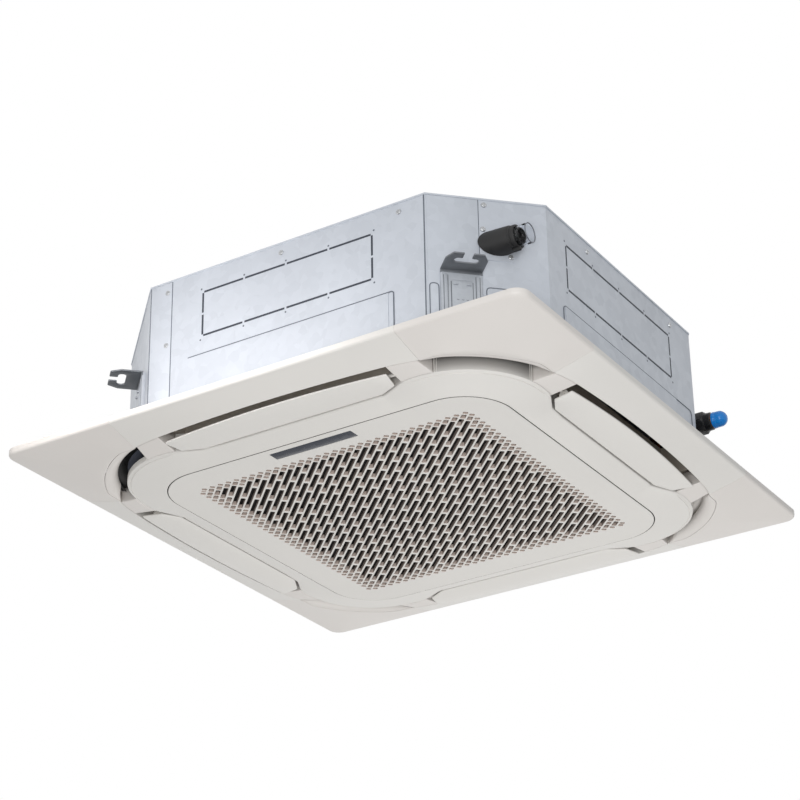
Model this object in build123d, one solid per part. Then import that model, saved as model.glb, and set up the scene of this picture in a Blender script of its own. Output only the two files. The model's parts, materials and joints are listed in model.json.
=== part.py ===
from build123d import *
import os
from math import atan2, cos, pi, radians, sin, sqrt

# A four-way ceiling cassette air conditioner: a sheet-metal casing that hangs above the
# ceiling on four rods, and a square decor panel below it with four flaps, four fixed corner
# outlets and a hinged intake grille.
# Millimetres, +Z up. The origin lies midway between the hanger rods, at the underside of the
# hanger plates. The front is -Y and the right is +X. The near corner is front right, then
# right, back and left go on anticlockwise, seen from above.

# ---- levels -------------------------------------------------------------------------------
HANG_DROP = 112.0            # hanger plate down to the ceiling
CASE_H = 245.0               # casing above the ceiling
RIM_T = 12.0                 # edge of the panel below the ceiling
THROAT_DROP = 16.0           # rim's edge down to its throat
BRIDGE_DROP = 20.5           # rim's edge down to the inner edge of the corner outlets
GRILLE_DROP = 34.0           # rim's edge down to the grille
SEAL_T = 3.0                 # panel gasket, squeezed
PAN_H = 50.0                 # drain pan

CEILING_Z = -HANG_DROP
CASE_TOP_Z = CEILING_Z + CASE_H
SEAL_Z = CEILING_Z - SEAL_T
RIM_Z = CEILING_Z - RIM_T
THROAT_Z = RIM_Z - THROAT_DROP
BRIDGE_Z = RIM_Z - BRIDGE_DROP
GRILLE_Z = RIM_Z - GRILLE_DROP
PAN_TOP_Z = CEILING_Z + PAN_H

# ---- fits ---------------------------------------------------------------------------------
FIT = 0.3                    # between seated pieces
RUN_FIT = 0.05               # radial, shaft in bearing

# ---- casing -------------------------------------------------------------------------------
CASE_SIDE = 840.0
SHEET = 1.2
TOP_FLANGE = 3.0
LINER_T = 12.0
LEG_NEAR = 134.0             # corner cut, measured along the side
LEG_RIGHT = 215.0
LEG_BACK = 188.0
LEG_LEFT = 188.0
FRONT_LAP_X = -188.0         # where the left wall laps the front
NEAR_LAP_U = -12.0           # lap along the near corner cut
RIGHT_LAP_U = -120.0
BACK_LAP_U = 0.0
KNOCK_H = 78.0
KNOCK_Z = 53.0               # centre of the knock-outs
KNOCK_SLIT = 3.0
KNOCK_BRIDGE = 6.0
KNOCK_W = {"front": 317.0, "right": 350.0, "back": 317.0, "left": 317.0}
KNOCK_X = {"front": 32.0, "right": -51.0, "back": 0.0, "left": 0.0}
PRESS_W = 373.0              # pressed panel below each knock-out
PRESS_TOP_Z = -19.0
PRESS_BOTTOM_Z = -84.0
PRESS_T = 0.8
BEAD_H = 3.0                 # stiffening beads of the top plate
BEAD_W = 9.0
BEAD_RING_R = 118.0
BEAD_END = 360.0
SCREW_R = 4.5
SCREW_HEAD = 2.4

# ---- hanger brackets ----------------------------------------------------------------------
HANGER_W = 64.6
HANGER_TIP_W = 47.0
HANGER_STANDOFF = 6.0
HANGER_REACH = 55.0
HANGER_BEVEL = 17.0
HANGER_T = 2.5
HANGER_H = 104.0
ROD_REACH = 35.0
ROD_SLOT_W = 37.0
ROD_SLOT_D = 13.0
ROD_MOUTH = 14.0
HANGER_U = {"near": -42.0, "right": 88.0, "back": -70.0, "left": 61.0}

# ---- drain and refrigerant connections ----------------------------------------------------
DRAIN_U = 15.0               # along the near corner cut
DRAIN_Z = 56.0
DRAIN_R = 16.0
DRAIN_WALL = 1.5
DRAIN_OUT = 58.0             # end of the drain pipe, from the corner cut
DRAIN_BARE = 16.0            # its end stretch, that a hose slides over
DRAIN_STEP = 0.2             # it is this much thinner inside the sleeve
SLEEVE_LEN = 38.0
SLEEVE_R = 24.0
SLEEVE_TIP_R = 19.0
DRAIN_PLATE_W = 53.0
DRAIN_PLATE_H = 60.0
PIPE_Y = 266.0
GAS_Z = -7.0
GAS_R = 7.94
LIQUID_Z = -54.0
LIQUID_R = 4.76
PIPE_START_X = 286.0
GAS_NUT_X = 387.0
LIQUID_NUT_X = 372.0         # short enough to be hidden by the panel from below
GAS_NUT_LEN = 36.0
LIQUID_NUT_LEN = 16.0
GAS_NUT_AF = 34.0
LIQUID_NUT_AF = 20.0
GAS_COLLAR = 6.0
LIQUID_COLLAR = 3.0
GAS_CAP_LEN = 27.0
LIQUID_CAP_LEN = 15.0
GAS_CAP_R = 14.0
LIQUID_CAP_R = 8.0

# ---- coil, fan, motor ---------------------------------------------------------------------
COIL_HALF = 319.0            # outer face of the coil
COIL_R = 94.0
COIL_T = 38.0
COIL_SKIN = 2.0              # its hollow block weighs about what real fins do
COIL_END = 235.0             # where the coil stops, at the pipe corner
TROUGH_DEPTH = 30.0
END_PLATE_T = 2.0
RETURN_R = 4.0
RETURN_SIDES = 8
RETURN_PITCH = 38.0
FAN_R = 235.0
FAN_TOP_Z = 85.0
FAN_INLET_R = 168.0
FAN_INLET_Z = -72.0
FAN_RIM_Z = -38.0
FAN_SKIN = 2.5
BLADES = 7
BLADE_T = 4.0
SHAFT_R = 6.0
SHAFT_BOTTOM_Z = 10.0
HUB_Z = 22.0
MOTOR_R = 72.0
MOTOR_BOTTOM_Z = 58.0
MOTOR_TOP_Z = 116.0
MOTOR_FOOT_R = 100.0
MOTOR_FOOT_T = 3.0
MOTOR_HOLE_R = 130.0
BUSH_R = 10.0
BELL_FLANGE_R = 250.0
BELL_THROAT_R = 160.0
BELL_OPEN_R = 236.0
BELL_T = 2.2

# ---- drain pump and float -----------------------------------------------------------------
PUMP_N = 447.0               # outward, along the near corner's diagonal
PUMP_R = 27.0
PUMP_FOOT_Z = -20.0
PUMP_CAN_TOP_Z = 30.0
PUMP_HOUSE_R = 20.0
PUMP_CHAMBER_R = 16.0
PUMP_CHAMBER_Z = -50.0
PUMP_CHAMBER_H = 16.0
PUMP_INLET_R = 6.0
PUMP_INLET_Z = -84.0
SUMP_FLOOR_Z = -100.0
RISER_X = 330.0
RISER_Y = -342.0
RISER_R = 9.0
RISER_BOTTOM_Z = -30.0
FLOAT_U = -40.0
FLOAT_R = 13.0
FLOAT_STEM_R = 4.0
FLOAT_H = 16.0
FLOAT_STOP_Z = -96.0

# ---- panel --------------------------------------------------------------------------------
PANEL_SIDE = 950.0
PANEL_CORNER_R = 18.0
PANEL_EDGE = 5.0             # softened lower edge of the rim
SKIN = 3.0
WALL = 2.5
THROAT_MID = 426.0           # inner edge of the rim, at the middle of a side
THROAT_DIAG = 498.0          # the same, along a diagonal
THROAT_SIDE_R = 2400.0
COVER_X = 262.0              # corner cover's seam, from the middle of a side
COVER_GAP = 0.6
WINDOW_HALF = 209.5          # flap window's ends
WINDOW_IN = 351.0            # flap window's inner edge
WINDOW_IN_HALF = 167.0
WINDOW_BEVEL_IN = 372.0
ISLAND_HALF = 351.0
ISLAND_R = 59.0
ISLAND_DIAG = 471.9
ISLAND_REACH = 24.0          # how far the centre frame's slope runs on, outside the window edge
SEAM_HALF = 313.5            # grille opening
SEAM_R = 78.0
SEAM_RISE = 0.5              # the frame's inner edge above the grille's lower face
SLOT_END = 250.0             # corner outlet's ends
SLOT_THROUGH = 262.0         # its open stretch
SLOT_STEP = 8.0
RIB_T = 2.0
RIBS_X = (-180.0, -90.0, 0.0, 90.0, 180.0)

# ---- flaps --------------------------------------------------------------------------------
PIVOT_D = 384.0              # flap pivot, from the middle of the unit
PIVOT_Z = RIM_Z - 13.0
PIN_R = 2.5
FLAP_IN = 356.0
FLAP_IN_HALF = 150.0
FLAP_BEVEL_D = 375.5
FLAP_BEVEL_HALF = 190.0
FLAP_OUT_D = 406.0
FLAP_OUT_HALF = 201.0
FLAP_GAP = 10.0              # outer edge of the flap to the throat
FLAP_T = 3.0
FLAP_IN_Z = RIM_Z - 24.8
FLAP_MID_Z = RIM_Z - 25.2
FLAP_OUT_Z = RIM_Z - 21.3
ARM_T = 3.0
ARM_X = 192.0
MOTOR_BAY = 35.0
STEPPER_R = 10.5
STEPPER_LEN = 18.0
STEPPER_RISE = 8.0           # the middle of its can above its shaft
STEPPER_SHIFT = 4.0          # and outward

# ---- intake grille and filter -------------------------------------------------------------
SEAM_GAP = 1.5
GRILLE_T = 3.0
GRILLE_FLANGE_H = 10.0
GRILLE_FLANGE_IN = 2.5
FIELD_HALF = 260.0           # slotted field, thicker than the rest of the grille
FIELD_R = 16.0
FIELD_T = 7.0
SLOT_W = 7.4
ROW_PITCH = 11.15
ROW_START = -3.5             # the row next to the middle, across the rows
SLOT_MIDDLE = -11.0          # middle of the pattern, along the rows
LONG_HALF = 43.0             # half the long middle slot of every other row
SHORT_FIRST = 76.5           # first bar of the rows between, from their middle bar
BAR_PITCH_LEFT = 65.3
BAR_PITCH_RIGHT = 68.7
SLOT_BAR = 8.0
CELL_LEN = 8.5               # two small cells end each row
CELL_PITCH = 13.0
CELL_REACH = 252.0           # the outer cell's centre, from the middle of the unit
MAIN_BACK = 21.0             # where the long slots stop, before the outer cell's centre
SLOT_MIN = 10.0
DISPLAY_W = 152.0
DISPLAY_H = 22.0
DISPLAY_X = -5.0
DISPLAY_Y = -289.0
LENS_STEP = 3.0
FILTER_HALF = 266.0
FILTER_T = 7.0
FILTER_BAR = 8.0
FILTER_NET_T = 0.8
RAIL_T = 2.0
RAIL_LIP = 4.0
RAIL_HALF = 200.0
HINGE_X = 180.0
HINGE_INSET = 2.0            # hinge axis in from the grille's edge
HINGE_RISE = 1.5             # and above its lower face
HINGE_R = 1.0
HINGE_PIN = 24.0
LUG_W = 8.0
LUG_WALL = 0.7
NOTCH_GAP = 1.0              # between a lug and the notch round it
SEAM_EASE = 1.5              # chamfer on the seam's edge, which the grille swings past
CATCH_X = 150.0
CATCH_W = 14.0
CATCH_H = 5.0
CATCH_Z = GRILLE_Z + 9.5

# ---- control box --------------------------------------------------------------------------
CTRL_X = 200.0
CTRL_IN = 222.0
CTRL_OUT = 300.0
CTRL_H = 25.0
CTRL_T = 1.2

CASE_HALF = CASE_SIDE / 2
PANEL_HALF = PANEL_SIDE / 2
GRILLE_HALF = SEAM_HALF - SEAM_GAP
GRILLE_R = SEAM_R - SEAM_GAP
COIL_BOTTOM_Z = PAN_TOP_Z - TROUGH_DEPTH + FIT
COIL_TOP_Z = CASE_TOP_Z - SHEET - FIT - LINER_T - FIT
LINER_TOP_Z = CASE_TOP_Z - SHEET - FIT
HINGE_Y = GRILLE_HALF - HINGE_INSET
HINGE_Z = GRILLE_Z + HINGE_RISE
FILTER_Z = GRILLE_Z + FIELD_T + FIT
SIDES = {"front": 0.0, "right": 90.0, "back": 180.0, "left": 270.0}
CORNERS = {"near": 45.0, "right": 135.0, "back": 225.0, "left": 315.0}
LEGS = {"near": LEG_NEAR, "right": LEG_RIGHT, "back": LEG_BACK, "left": LEG_LEFT}


# ---- small helpers ------------------------------------------------------------------------
def plate(face, z0, z1):
    """A flat face, drawn at z = 0, carried from z0 up to z1."""
    return extrude(Pos(0, 0, z0) * face, amount=z1 - z0, dir=(0, 0, 1))


def prism(points, z0, z1):
    return plate(make_face(Polyline(*points, close=True)), z0, z1)


def block(x0, x1, y0, y1, z0, z1):
    size = Box(x1 - x0, y1 - y0, z1 - z0)
    return Pos((x0 + x1) / 2, (y0 + y1) / 2, (z0 + z1) / 2) * size


def post(radius, x, y, z0, z1):
    return Pos(x, y, (z0 + z1) / 2) * Cylinder(radius, z1 - z0)


def rod_x(radius, x0, x1, y, z):
    return Pos((x0 + x1) / 2, y, z) * Rot(0, 90, 0) * Cylinder(radius, x1 - x0)


def turned(points):
    """A closed outline of (radius, z) points, turned about the Z axis."""
    face = make_face(Polyline(*[(r, 0, z) for r, z in points], close=True))
    return revolve(face, Axis.Z)


def about_z(angle, shape):
    return Rot(0, 0, angle) * shape


def joined(shapes):
    whole = shapes[0]
    for shape in shapes[1:]:
        whole = whole + shape
    return whole


def side_profile(points, x0, x1):
    """A closed outline of (distance out, z) points on the front side, carried along X."""
    face = make_face(Polyline(*[(x0, -d, z) for d, z in points], close=True))
    return extrude(face, amount=x1 - x0, dir=(1, 0, 0))


# ---- outlines -----------------------------------------------------------------------------
def four_sided(side, corner):
    """An outline of a front edge and a near corner edge, repeated round the four sides."""
    edges = []
    for turn in SIDES.values():
        edges.append(about_z(turn, side))
        edges.append(about_z(turn, corner))
    return make_face(edges)


def square_face(half, radius):
    flat = half - radius
    reach = flat + radius / sqrt(2)
    side = Line((-flat, -half), (flat, -half))
    corner = ThreePointArc((flat, -half), (reach, -reach), (half, -flat))
    return four_sided(side, corner)


def throat_face(grow):
    """The rim's inner edge: bowed sides that run into corner arcs without a break."""
    mid = THROAT_MID + grow
    diag = THROAT_DIAG + grow
    side_r = THROAT_SIDE_R + grow
    centre = side_r - mid
    spare = side_r - diag
    corner_c = (spare ** 2 - centre ** 2) / (2 * (centre - sqrt(2) * spare))
    corner_r = diag - corner_c * sqrt(2)
    share = side_r / (side_r - corner_r)
    x = corner_c * share
    y = centre - (corner_c + centre) * share
    side = ThreePointArc((-x, y), (0, -mid), (x, y))
    corner = ThreePointArc((x, y), (diag / sqrt(2), -diag / sqrt(2)), (-y, -x))
    return four_sided(side, corner)


def island_face():
    """The centre frame's outer edge: window edges, bevels and corner arcs."""
    a = WINDOW_IN_HALF
    b = WINDOW_HALF
    top = Line((-a, -WINDOW_IN), (a, -WINDOW_IN))
    bevel = Line((a, -WINDOW_IN), (b, -WINDOW_BEVEL_IN))
    m = ISLAND_DIAG / sqrt(2)
    arc = ThreePointArc((b, -WINDOW_BEVEL_IN), (m, -m), (WINDOW_BEVEL_IN, -b))
    bevel_on = Line((WINDOW_BEVEL_IN, -b), (WINDOW_IN, -a))
    edges = []
    for turn in SIDES.values():
        for edge in (top, bevel, arc, bevel_on):
            edges.append(about_z(turn, edge))
    return make_face(edges)


def octagon(inset):
    """The casing's outline, each corner cut by its own leg, all sides moved in by inset."""
    half = CASE_HALF - inset
    ease = inset * (2 - sqrt(2))
    near = LEG_NEAR - ease
    right = LEG_RIGHT - ease
    back = LEG_BACK - ease
    left = LEG_LEFT - ease
    return [
        (half - near, -half), (half, -half + near),
        (half, half - right), (half - right, half),
        (-half + back, half), (-half, half - back),
        (-half, -half + left), (-half + left, -half),
    ]


def cut_distance(name):
    """From the middle of the unit out to a corner cut."""
    return (CASE_SIDE - LEGS[name]) / sqrt(2)


def at_corner(name, shape):
    """A shape drawn with its outward side to -Y, turned to face out of a corner cut."""
    return about_z(CORNERS[name], shape)


# ---- casing -------------------------------------------------------------------------------
def shell_ring(z0, z1):
    return prism(octagon(SHEET), z0, z1) - prism(octagon(2 * SHEET), z0, z1)


def lap_point(name, u):
    """A point on the sheet at a corner cut, u along it, and the cut's outward direction."""
    angle = radians(CORNERS[name])
    out = (sin(angle), -cos(angle))
    along = (cos(angle), sin(angle))
    n = cut_distance(name)
    return (out[0] * n + along[0] * u, out[1] * n + along[1] * u), out


def wedge(start, stop):
    """The plan sector between two laps, cut square to the sheet at each."""
    near_in = 30.0
    far_out = 40.0
    far = 800.0
    points = [(0, 0)]
    (sx, sy), (ox, oy) = start
    points.append((sx - ox * near_in, sy - oy * near_in))
    points.append((sx + ox * far_out, sy + oy * far_out))
    first = atan2(sy, sx)
    (ex, ey), (px, py) = stop
    last = atan2(ey, ex)
    if last < first:
        last += 2 * pi
    steps = 5
    for i in range(1, steps):
        angle = first + (last - first) * i / steps
        points.append((far * cos(angle), far * sin(angle)))
    points.append((ex + px * far_out, ey + py * far_out))
    points.append((ex - px * near_in, ey - py * near_in))
    return prism(points, CEILING_Z - 1, CASE_TOP_Z + 1)


def knock_out(width, centre):
    """The slits round a knock-out: four along the top and bottom, two down each side."""
    y0 = -CASE_HALF - 1
    y1 = -CASE_HALF + 2 * SHEET + 2
    slits = []
    step = width / 4
    for row_z in (KNOCK_Z - KNOCK_H / 2, KNOCK_Z + KNOCK_H / 2):
        for i in range(4):
            x0 = centre - width / 2 + i * step + KNOCK_BRIDGE / 2
            x1 = x0 + step - KNOCK_BRIDGE
            slits.append(block(x0, x1, y0, y1, row_z - KNOCK_SLIT / 2, row_z + KNOCK_SLIT / 2))
    rise = KNOCK_H / 2
    for x in (centre - width / 2, centre + width / 2):
        for z0 in (KNOCK_Z - rise + KNOCK_BRIDGE / 2, KNOCK_Z + KNOCK_BRIDGE / 2):
            z1 = z0 + rise - KNOCK_BRIDGE
            slits.append(block(x - KNOCK_SLIT / 2, x + KNOCK_SLIT / 2, y0, y1, z0, z1))
    return slits


def side_wall(name):
    front_lap = ((FRONT_LAP_X, -CASE_HALF), (0.0, -1.0))
    laps = {
        "front": (front_lap, lap_point("near", NEAR_LAP_U)),
        "right": (lap_point("near", NEAR_LAP_U), lap_point("right", RIGHT_LAP_U)),
        "back": (lap_point("right", RIGHT_LAP_U), lap_point("back", BACK_LAP_U)),
        "left": (lap_point("back", BACK_LAP_U), front_lap),
    }
    wall = shell_ring(CEILING_Z, CASE_TOP_Z - SHEET) & wedge(*laps[name])
    centre = KNOCK_X[name]
    pressed = block(
        centre - PRESS_W / 2, centre + PRESS_W / 2,
        -CASE_HALF + SHEET - PRESS_T, -CASE_HALF + 1.5 * SHEET,
        PRESS_BOTTOM_Z, PRESS_TOP_Z,
    )
    if name == "front":
        pressed = pressed & block(
            FRONT_LAP_X + 1, CASE_HALF, -CASE_HALF, 0, PRESS_BOTTOM_Z, PRESS_TOP_Z
        )
    wall = wall + about_z(SIDES[name], pressed)
    for slit in knock_out(KNOCK_W[name], centre):
        wall = wall - about_z(SIDES[name], slit)
    if name == "right":
        wall = wall - drain_hole(DRAIN_R + 1)
    if name == "back":
        wall = wall - pipe_holes()
    return wall


def drain_hole(radius):
    x, y = drain_point()
    return rod_x(radius, x - 40, x + 40, y, DRAIN_Z)


def pipe_holes():
    gas = rod_x(GAS_R + 8, PIPE_START_X, GAS_NUT_X, PIPE_Y, GAS_Z)
    liquid = rod_x(LIQUID_R + 8, PIPE_START_X, GAS_NUT_X, PIPE_Y, LIQUID_Z)
    return gas + liquid


def drain_point():
    """Where the drain pipe's axis meets the near corner cut."""
    n = cut_distance("near")
    return (n + DRAIN_U) / sqrt(2), (DRAIN_U - n) / sqrt(2)


def top_plate():
    sheet = prism(octagon(0), CASE_TOP_Z - SHEET, CASE_TOP_Z)
    flange = prism(octagon(0), CASE_TOP_Z - TOP_FLANGE, CASE_TOP_Z - SHEET)
    flange = flange - prism(octagon(SHEET), CASE_TOP_Z - TOP_FLANGE, CASE_TOP_Z - SHEET)
    ring = post(BEAD_RING_R, 0, 0, CASE_TOP_Z, CASE_TOP_Z + BEAD_H)
    ring = ring - post(BEAD_RING_R - BEAD_W, 0, 0, CASE_TOP_Z, CASE_TOP_Z + BEAD_H)
    top = sheet + flange + ring
    start = BEAD_RING_R - BEAD_W / 2
    for turn in range(0, 360, 45):
        bead = block(start, BEAD_END, -BEAD_W / 2, BEAD_W / 2, CASE_TOP_Z, CASE_TOP_Z + BEAD_H)
        top = top + about_z(turn, bead)
    return top


def insulation_liner():
    inset = 2 * SHEET
    outer = prism(octagon(inset), PAN_TOP_Z + FIT, LINER_TOP_Z)
    inner = prism(octagon(inset + LINER_T), PAN_TOP_Z + FIT, LINER_TOP_Z - LINER_T)
    liner = outer - inner - post(MOTOR_HOLE_R, 0, 0, LINER_TOP_Z - LINER_T, LINER_TOP_Z)
    return liner - drain_hole(DRAIN_R + 1) - pipe_holes()


def hanger_bracket(name):
    """A channel on the corner cut with a plate folded out, slotted for a rod from its tip."""
    n = cut_distance(name) - SHEET
    half = HANGER_W / 2
    tip = HANGER_TIP_W / 2
    root = n + HANGER_STANDOFF
    web = block(-half, half, -root, -root + HANGER_T, -HANGER_H, 0)
    channel = web
    for x in (-half, half - HANGER_T):
        channel = channel + block(x, x + HANGER_T, -root, -n, -HANGER_H, 0)
    pad = block(-half / 2, half / 2, -root - HANGER_T / 2, -root, -0.72 * HANGER_H, -0.14 * HANGER_H)
    reach = n + HANGER_REACH
    outline = [
        (-half, -root + HANGER_T), (half, -root + HANGER_T), (half, -reach + HANGER_BEVEL),
        (tip, -reach), (-tip, -reach), (-half, -reach + HANGER_BEVEL),
    ]
    shelf = prism(outline, 0, HANGER_T)
    rod = n + ROD_REACH
    slot = block(
        -ROD_SLOT_W / 2, ROD_SLOT_W / 2, -rod - ROD_SLOT_D / 2, -rod + ROD_SLOT_D / 2,
        -1, HANGER_T + 1,
    )
    mouth = block(-ROD_MOUTH / 2, ROD_MOUTH / 2, -reach - 1, -rod, -1, HANGER_T + 1)
    bracket = channel + pad + (shelf - slot - mouth)
    return at_corner(name, Pos(HANGER_U[name], 0, 0) * bracket)


def screw_head(x, z):
    """A pan head on the front side, lying on the sheet."""
    y = -CASE_HALF + SHEET
    return Pos(x, y - SCREW_HEAD / 2, z) * Rot(90, 0, 0) * Cylinder(SCREW_R, SCREW_HEAD)


def casing_screws():
    rows = {
        "front": ((-197, 112), (-197, 17), (23, 115), (239, 115)),
        "right": ((-155, 115), (132, 115)),
        "back": ((-130, 115), (130, 115)),
        "left": ((-130, 115), (130, 115)),
    }
    heads = []
    for name, places in rows.items():
        for x, z in places:
            heads.append(about_z(SIDES[name], screw_head(x, z)))
    return Compound(children=[head.solid() for head in heads])


# ---- connections --------------------------------------------------------------------------
def drain_plate():
    n = cut_distance("near") - SHEET
    x0 = DRAIN_U - DRAIN_PLATE_W / 2
    z0 = DRAIN_Z - DRAIN_PLATE_H / 2
    flat = block(x0, x0 + DRAIN_PLATE_W, -n - SHEET, -n, z0, z0 + DRAIN_PLATE_H)
    return at_corner("near", flat) - drain_hole(DRAIN_R + 1)


def drain_sleeve():
    """A soft cone over the pipe, cut at 45 degrees to sit on the drain plate."""
    x, y = drain_point()
    start = x - SLEEVE_R
    ring_x = x + 0.72 * SLEEVE_LEN
    end = x + SLEEVE_LEN
    cone_pts = [(start, SLEEVE_R), (ring_x, SLEEVE_TIP_R + 1), (ring_x, DRAIN_R), (start, DRAIN_R)]
    face = make_face(Polyline(*[(a, 0, b) for a, b in cone_pts], close=True))
    cone = revolve(face, Axis.X)
    ring_pts = [(ring_x, SLEEVE_TIP_R), (end, SLEEVE_TIP_R), (end, DRAIN_R), (ring_x, DRAIN_R)]
    ring = revolve(make_face(Polyline(*[(a, 0, b) for a, b in ring_pts], close=True)), Axis.X)
    tab = block(ring_x, end + 3, -3, 3, -SLEEVE_R, -DRAIN_R - 1)
    sleeve = Pos(0, y, DRAIN_Z) * (cone + ring + tab)
    n = cut_distance("near")
    keep = at_corner("near", block(-120, 120, -n - 120, -n, DRAIN_Z - 60, DRAIN_Z + 60))
    return sleeve & keep


def drain_pipe():
    x, y = drain_point()
    start = RISER_X + DRAIN_R + 4
    end = x + DRAIN_OUT
    pipe = rod_x(DRAIN_R - DRAIN_STEP, start, end - DRAIN_BARE, y, DRAIN_Z)
    pipe = pipe + rod_x(DRAIN_R, end - DRAIN_BARE, end, y, DRAIN_Z)
    return pipe - rod_x(DRAIN_R - DRAIN_WALL, start, end, y, DRAIN_Z)


def hex_nut(across, length, bore):
    nut = extrude(RegularPolygon(across / sqrt(3), 6), amount=length, dir=(0, 0, 1))
    return nut - post(bore, 0, 0, 0, length)


def on_pipe(shape, x, z):
    """Turns a shape that stands on Z so that it points along a pipe."""
    return Pos(x, PIPE_Y, z) * Rot(0, 90, 0) * shape


def refrigerant_pipes():
    """Two pipes, each with the coil header that it runs into."""
    gas = rod_x(GAS_R, PIPE_START_X, GAS_NUT_X + GAS_NUT_LEN, PIPE_Y, GAS_Z)
    gas = gas + post(11, PIPE_START_X, PIPE_Y, COIL_BOTTOM_Z + 60, COIL_TOP_Z - 20)
    liquid_x = PIPE_START_X + 30
    liquid = rod_x(LIQUID_R, liquid_x, LIQUID_NUT_X + LIQUID_NUT_LEN, PIPE_Y, LIQUID_Z)
    liquid = liquid + post(7, liquid_x, PIPE_Y, PAN_TOP_Z + 2, GAS_Z - 12)
    return Compound(children=[gas.solid(), liquid.solid()])


def flare_nut(across, length, bore, collar):
    """A nut on its pipe, and the narrower collar that closes it."""
    return hex_nut(across, length, bore + RUN_FIT) + post(0.38 * across, 0, 0, length, length + collar)


def flare_nuts():
    gas = flare_nut(GAS_NUT_AF, GAS_NUT_LEN, GAS_R, GAS_COLLAR)
    liquid = flare_nut(LIQUID_NUT_AF, LIQUID_NUT_LEN, LIQUID_R, LIQUID_COLLAR)
    gas = on_pipe(gas, GAS_NUT_X, GAS_Z)
    liquid = on_pipe(liquid, LIQUID_NUT_X, LIQUID_Z)
    return Compound(children=[gas.solid(), liquid.solid()])


def pipe_cap(radius, length):
    dome = length - 0.45 * radius
    return turned([(0, 0), (radius, 0), (radius, dome), (0.75 * radius, length), (0, length)])


def pipe_caps():
    gas_x = GAS_NUT_X + GAS_NUT_LEN + GAS_COLLAR
    liquid_x = LIQUID_NUT_X + LIQUID_NUT_LEN + LIQUID_COLLAR
    gas = on_pipe(pipe_cap(GAS_CAP_R, GAS_CAP_LEN), gas_x, GAS_Z)
    liquid = on_pipe(pipe_cap(LIQUID_CAP_R, LIQUID_CAP_LEN), liquid_x, LIQUID_Z)
    return Compound(children=[gas.solid(), liquid.solid()])


def pipe_cover():
    """The plate over the pipe corner, screwed to the back wall."""
    n = cut_distance("right") - SHEET
    u = (PIPE_Y * sqrt(2) - n)
    flat = block(u - 40, u + 40, -n - SHEET, -n, LIQUID_Z - 30, GAS_Z + 38)
    hole = rod_x(GAS_R + 1, PIPE_START_X + 12, GAS_NUT_X, PIPE_Y, GAS_Z)
    hole = hole + rod_x(LIQUID_R + 1, PIPE_START_X + 40, GAS_NUT_X, PIPE_Y, LIQUID_Z)
    return at_corner("right", flat) - hole


# ---- coil ---------------------------------------------------------------------------------
def square_ring(half, radius, thick, z0, z1):
    outer = plate(square_face(half, radius), z0, z1)
    return outer - plate(square_face(half - thick, radius - thick), z0, z1)


def pipe_corner(start):
    return block(start, PANEL_HALF, start, PANEL_HALF, CEILING_Z, CASE_TOP_Z)


def coil_form(inset):
    """The coil's block round the fan, open at the pipe corner, its faces moved in by inset."""
    z0, z1 = COIL_BOTTOM_Z + inset, COIL_TOP_Z - inset
    ring = square_ring(COIL_HALF - inset, COIL_R - inset, COIL_T - 2 * inset, z0, z1)
    return ring - pipe_corner(COIL_END - inset)


def coil_fins():
    return coil_form(0) - coil_form(COIL_SKIN)


def coil_end_plates():
    inner = COIL_HALF - COIL_T
    y1 = COIL_END + END_PLATE_T
    one = block(inner - 1, COIL_HALF + 1, COIL_END, y1, COIL_BOTTOM_Z, COIL_TOP_Z)
    two = block(COIL_END, y1, inner - 1, COIL_HALF + 1, COIL_BOTTOM_Z, COIL_TOP_Z)
    return Compound(children=[one.solid(), two.solid()])


def coil_returns():
    """Return bends that join the coil's two tube rows at its ends, each half a ring with
    few flat sides round it, because they repeat and are shut in."""
    bends = []
    middle = COIL_HALF - COIL_T / 2
    face = COIL_END + END_PLATE_T
    bow = COIL_T / 4
    z = COIL_BOTTOM_Z + RETURN_PITCH
    while z < COIL_TOP_Z - RETURN_PITCH / 2:
        section = Pos(bow, 0, 0) * Rot(90, 0, 0) * RegularPolygon(RETURN_R, RETURN_SIDES)
        ring = revolve(section, Axis.Z, 180)
        bends.append((Pos(middle, face, z) * ring).solid())
        bends.append((Pos(face, middle, z) * Rot(0, 0, -90) * ring).solid())
        z += RETURN_PITCH
    return Compound(children=bends)


# ---- fan ----------------------------------------------------------------------------------
def fan_motor():
    can = [
        (0, MOTOR_BOTTOM_Z), (20, MOTOR_BOTTOM_Z), (MOTOR_R - 10, MOTOR_BOTTOM_Z + 5),
        (MOTOR_R, MOTOR_BOTTOM_Z + 15), (MOTOR_R, MOTOR_TOP_Z), (0, MOTOR_TOP_Z),
    ]
    body = turned(can)
    for turn in (90, 210, 330):
        foot = block(0, MOTOR_FOOT_R + BUSH_R, -14, 14, MOTOR_TOP_Z, MOTOR_TOP_Z + MOTOR_FOOT_T)
        body = body + about_z(turn, foot)
    depth = 6.0
    return body - post(SHAFT_R + RUN_FIT, 0, 0, MOTOR_BOTTOM_Z, MOTOR_BOTTOM_Z + depth)


def motor_mounts():
    """Rubber bushes with their bolts, between the motor's feet and the top plate."""
    mounts = []
    z0 = MOTOR_TOP_Z + MOTOR_FOOT_T
    for turn in (90, 210, 330):
        bush = post(BUSH_R, MOTOR_FOOT_R, 0, z0, CASE_TOP_Z - SHEET)
        mounts.append(about_z(turn, bush).solid())
    return Compound(children=mounts)


def fan_shaft():
    return post(SHAFT_R, 0, 0, SHAFT_BOTTOM_Z, MOTOR_BOTTOM_Z + 5)


def fan_nut():
    across = 22.0
    height = 9.0
    return Pos(0, 0, HUB_Z - height) * hex_nut(across, height, SHAFT_R + RUN_FIT)


def hub_outline():
    """(radius, z) points up the hub cone, from the boss to the back plate."""
    return [(16, HUB_Z + 6), (80, 38), (112, 72), (150, FAN_TOP_Z - 5), (FAN_R, FAN_TOP_Z)]


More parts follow.
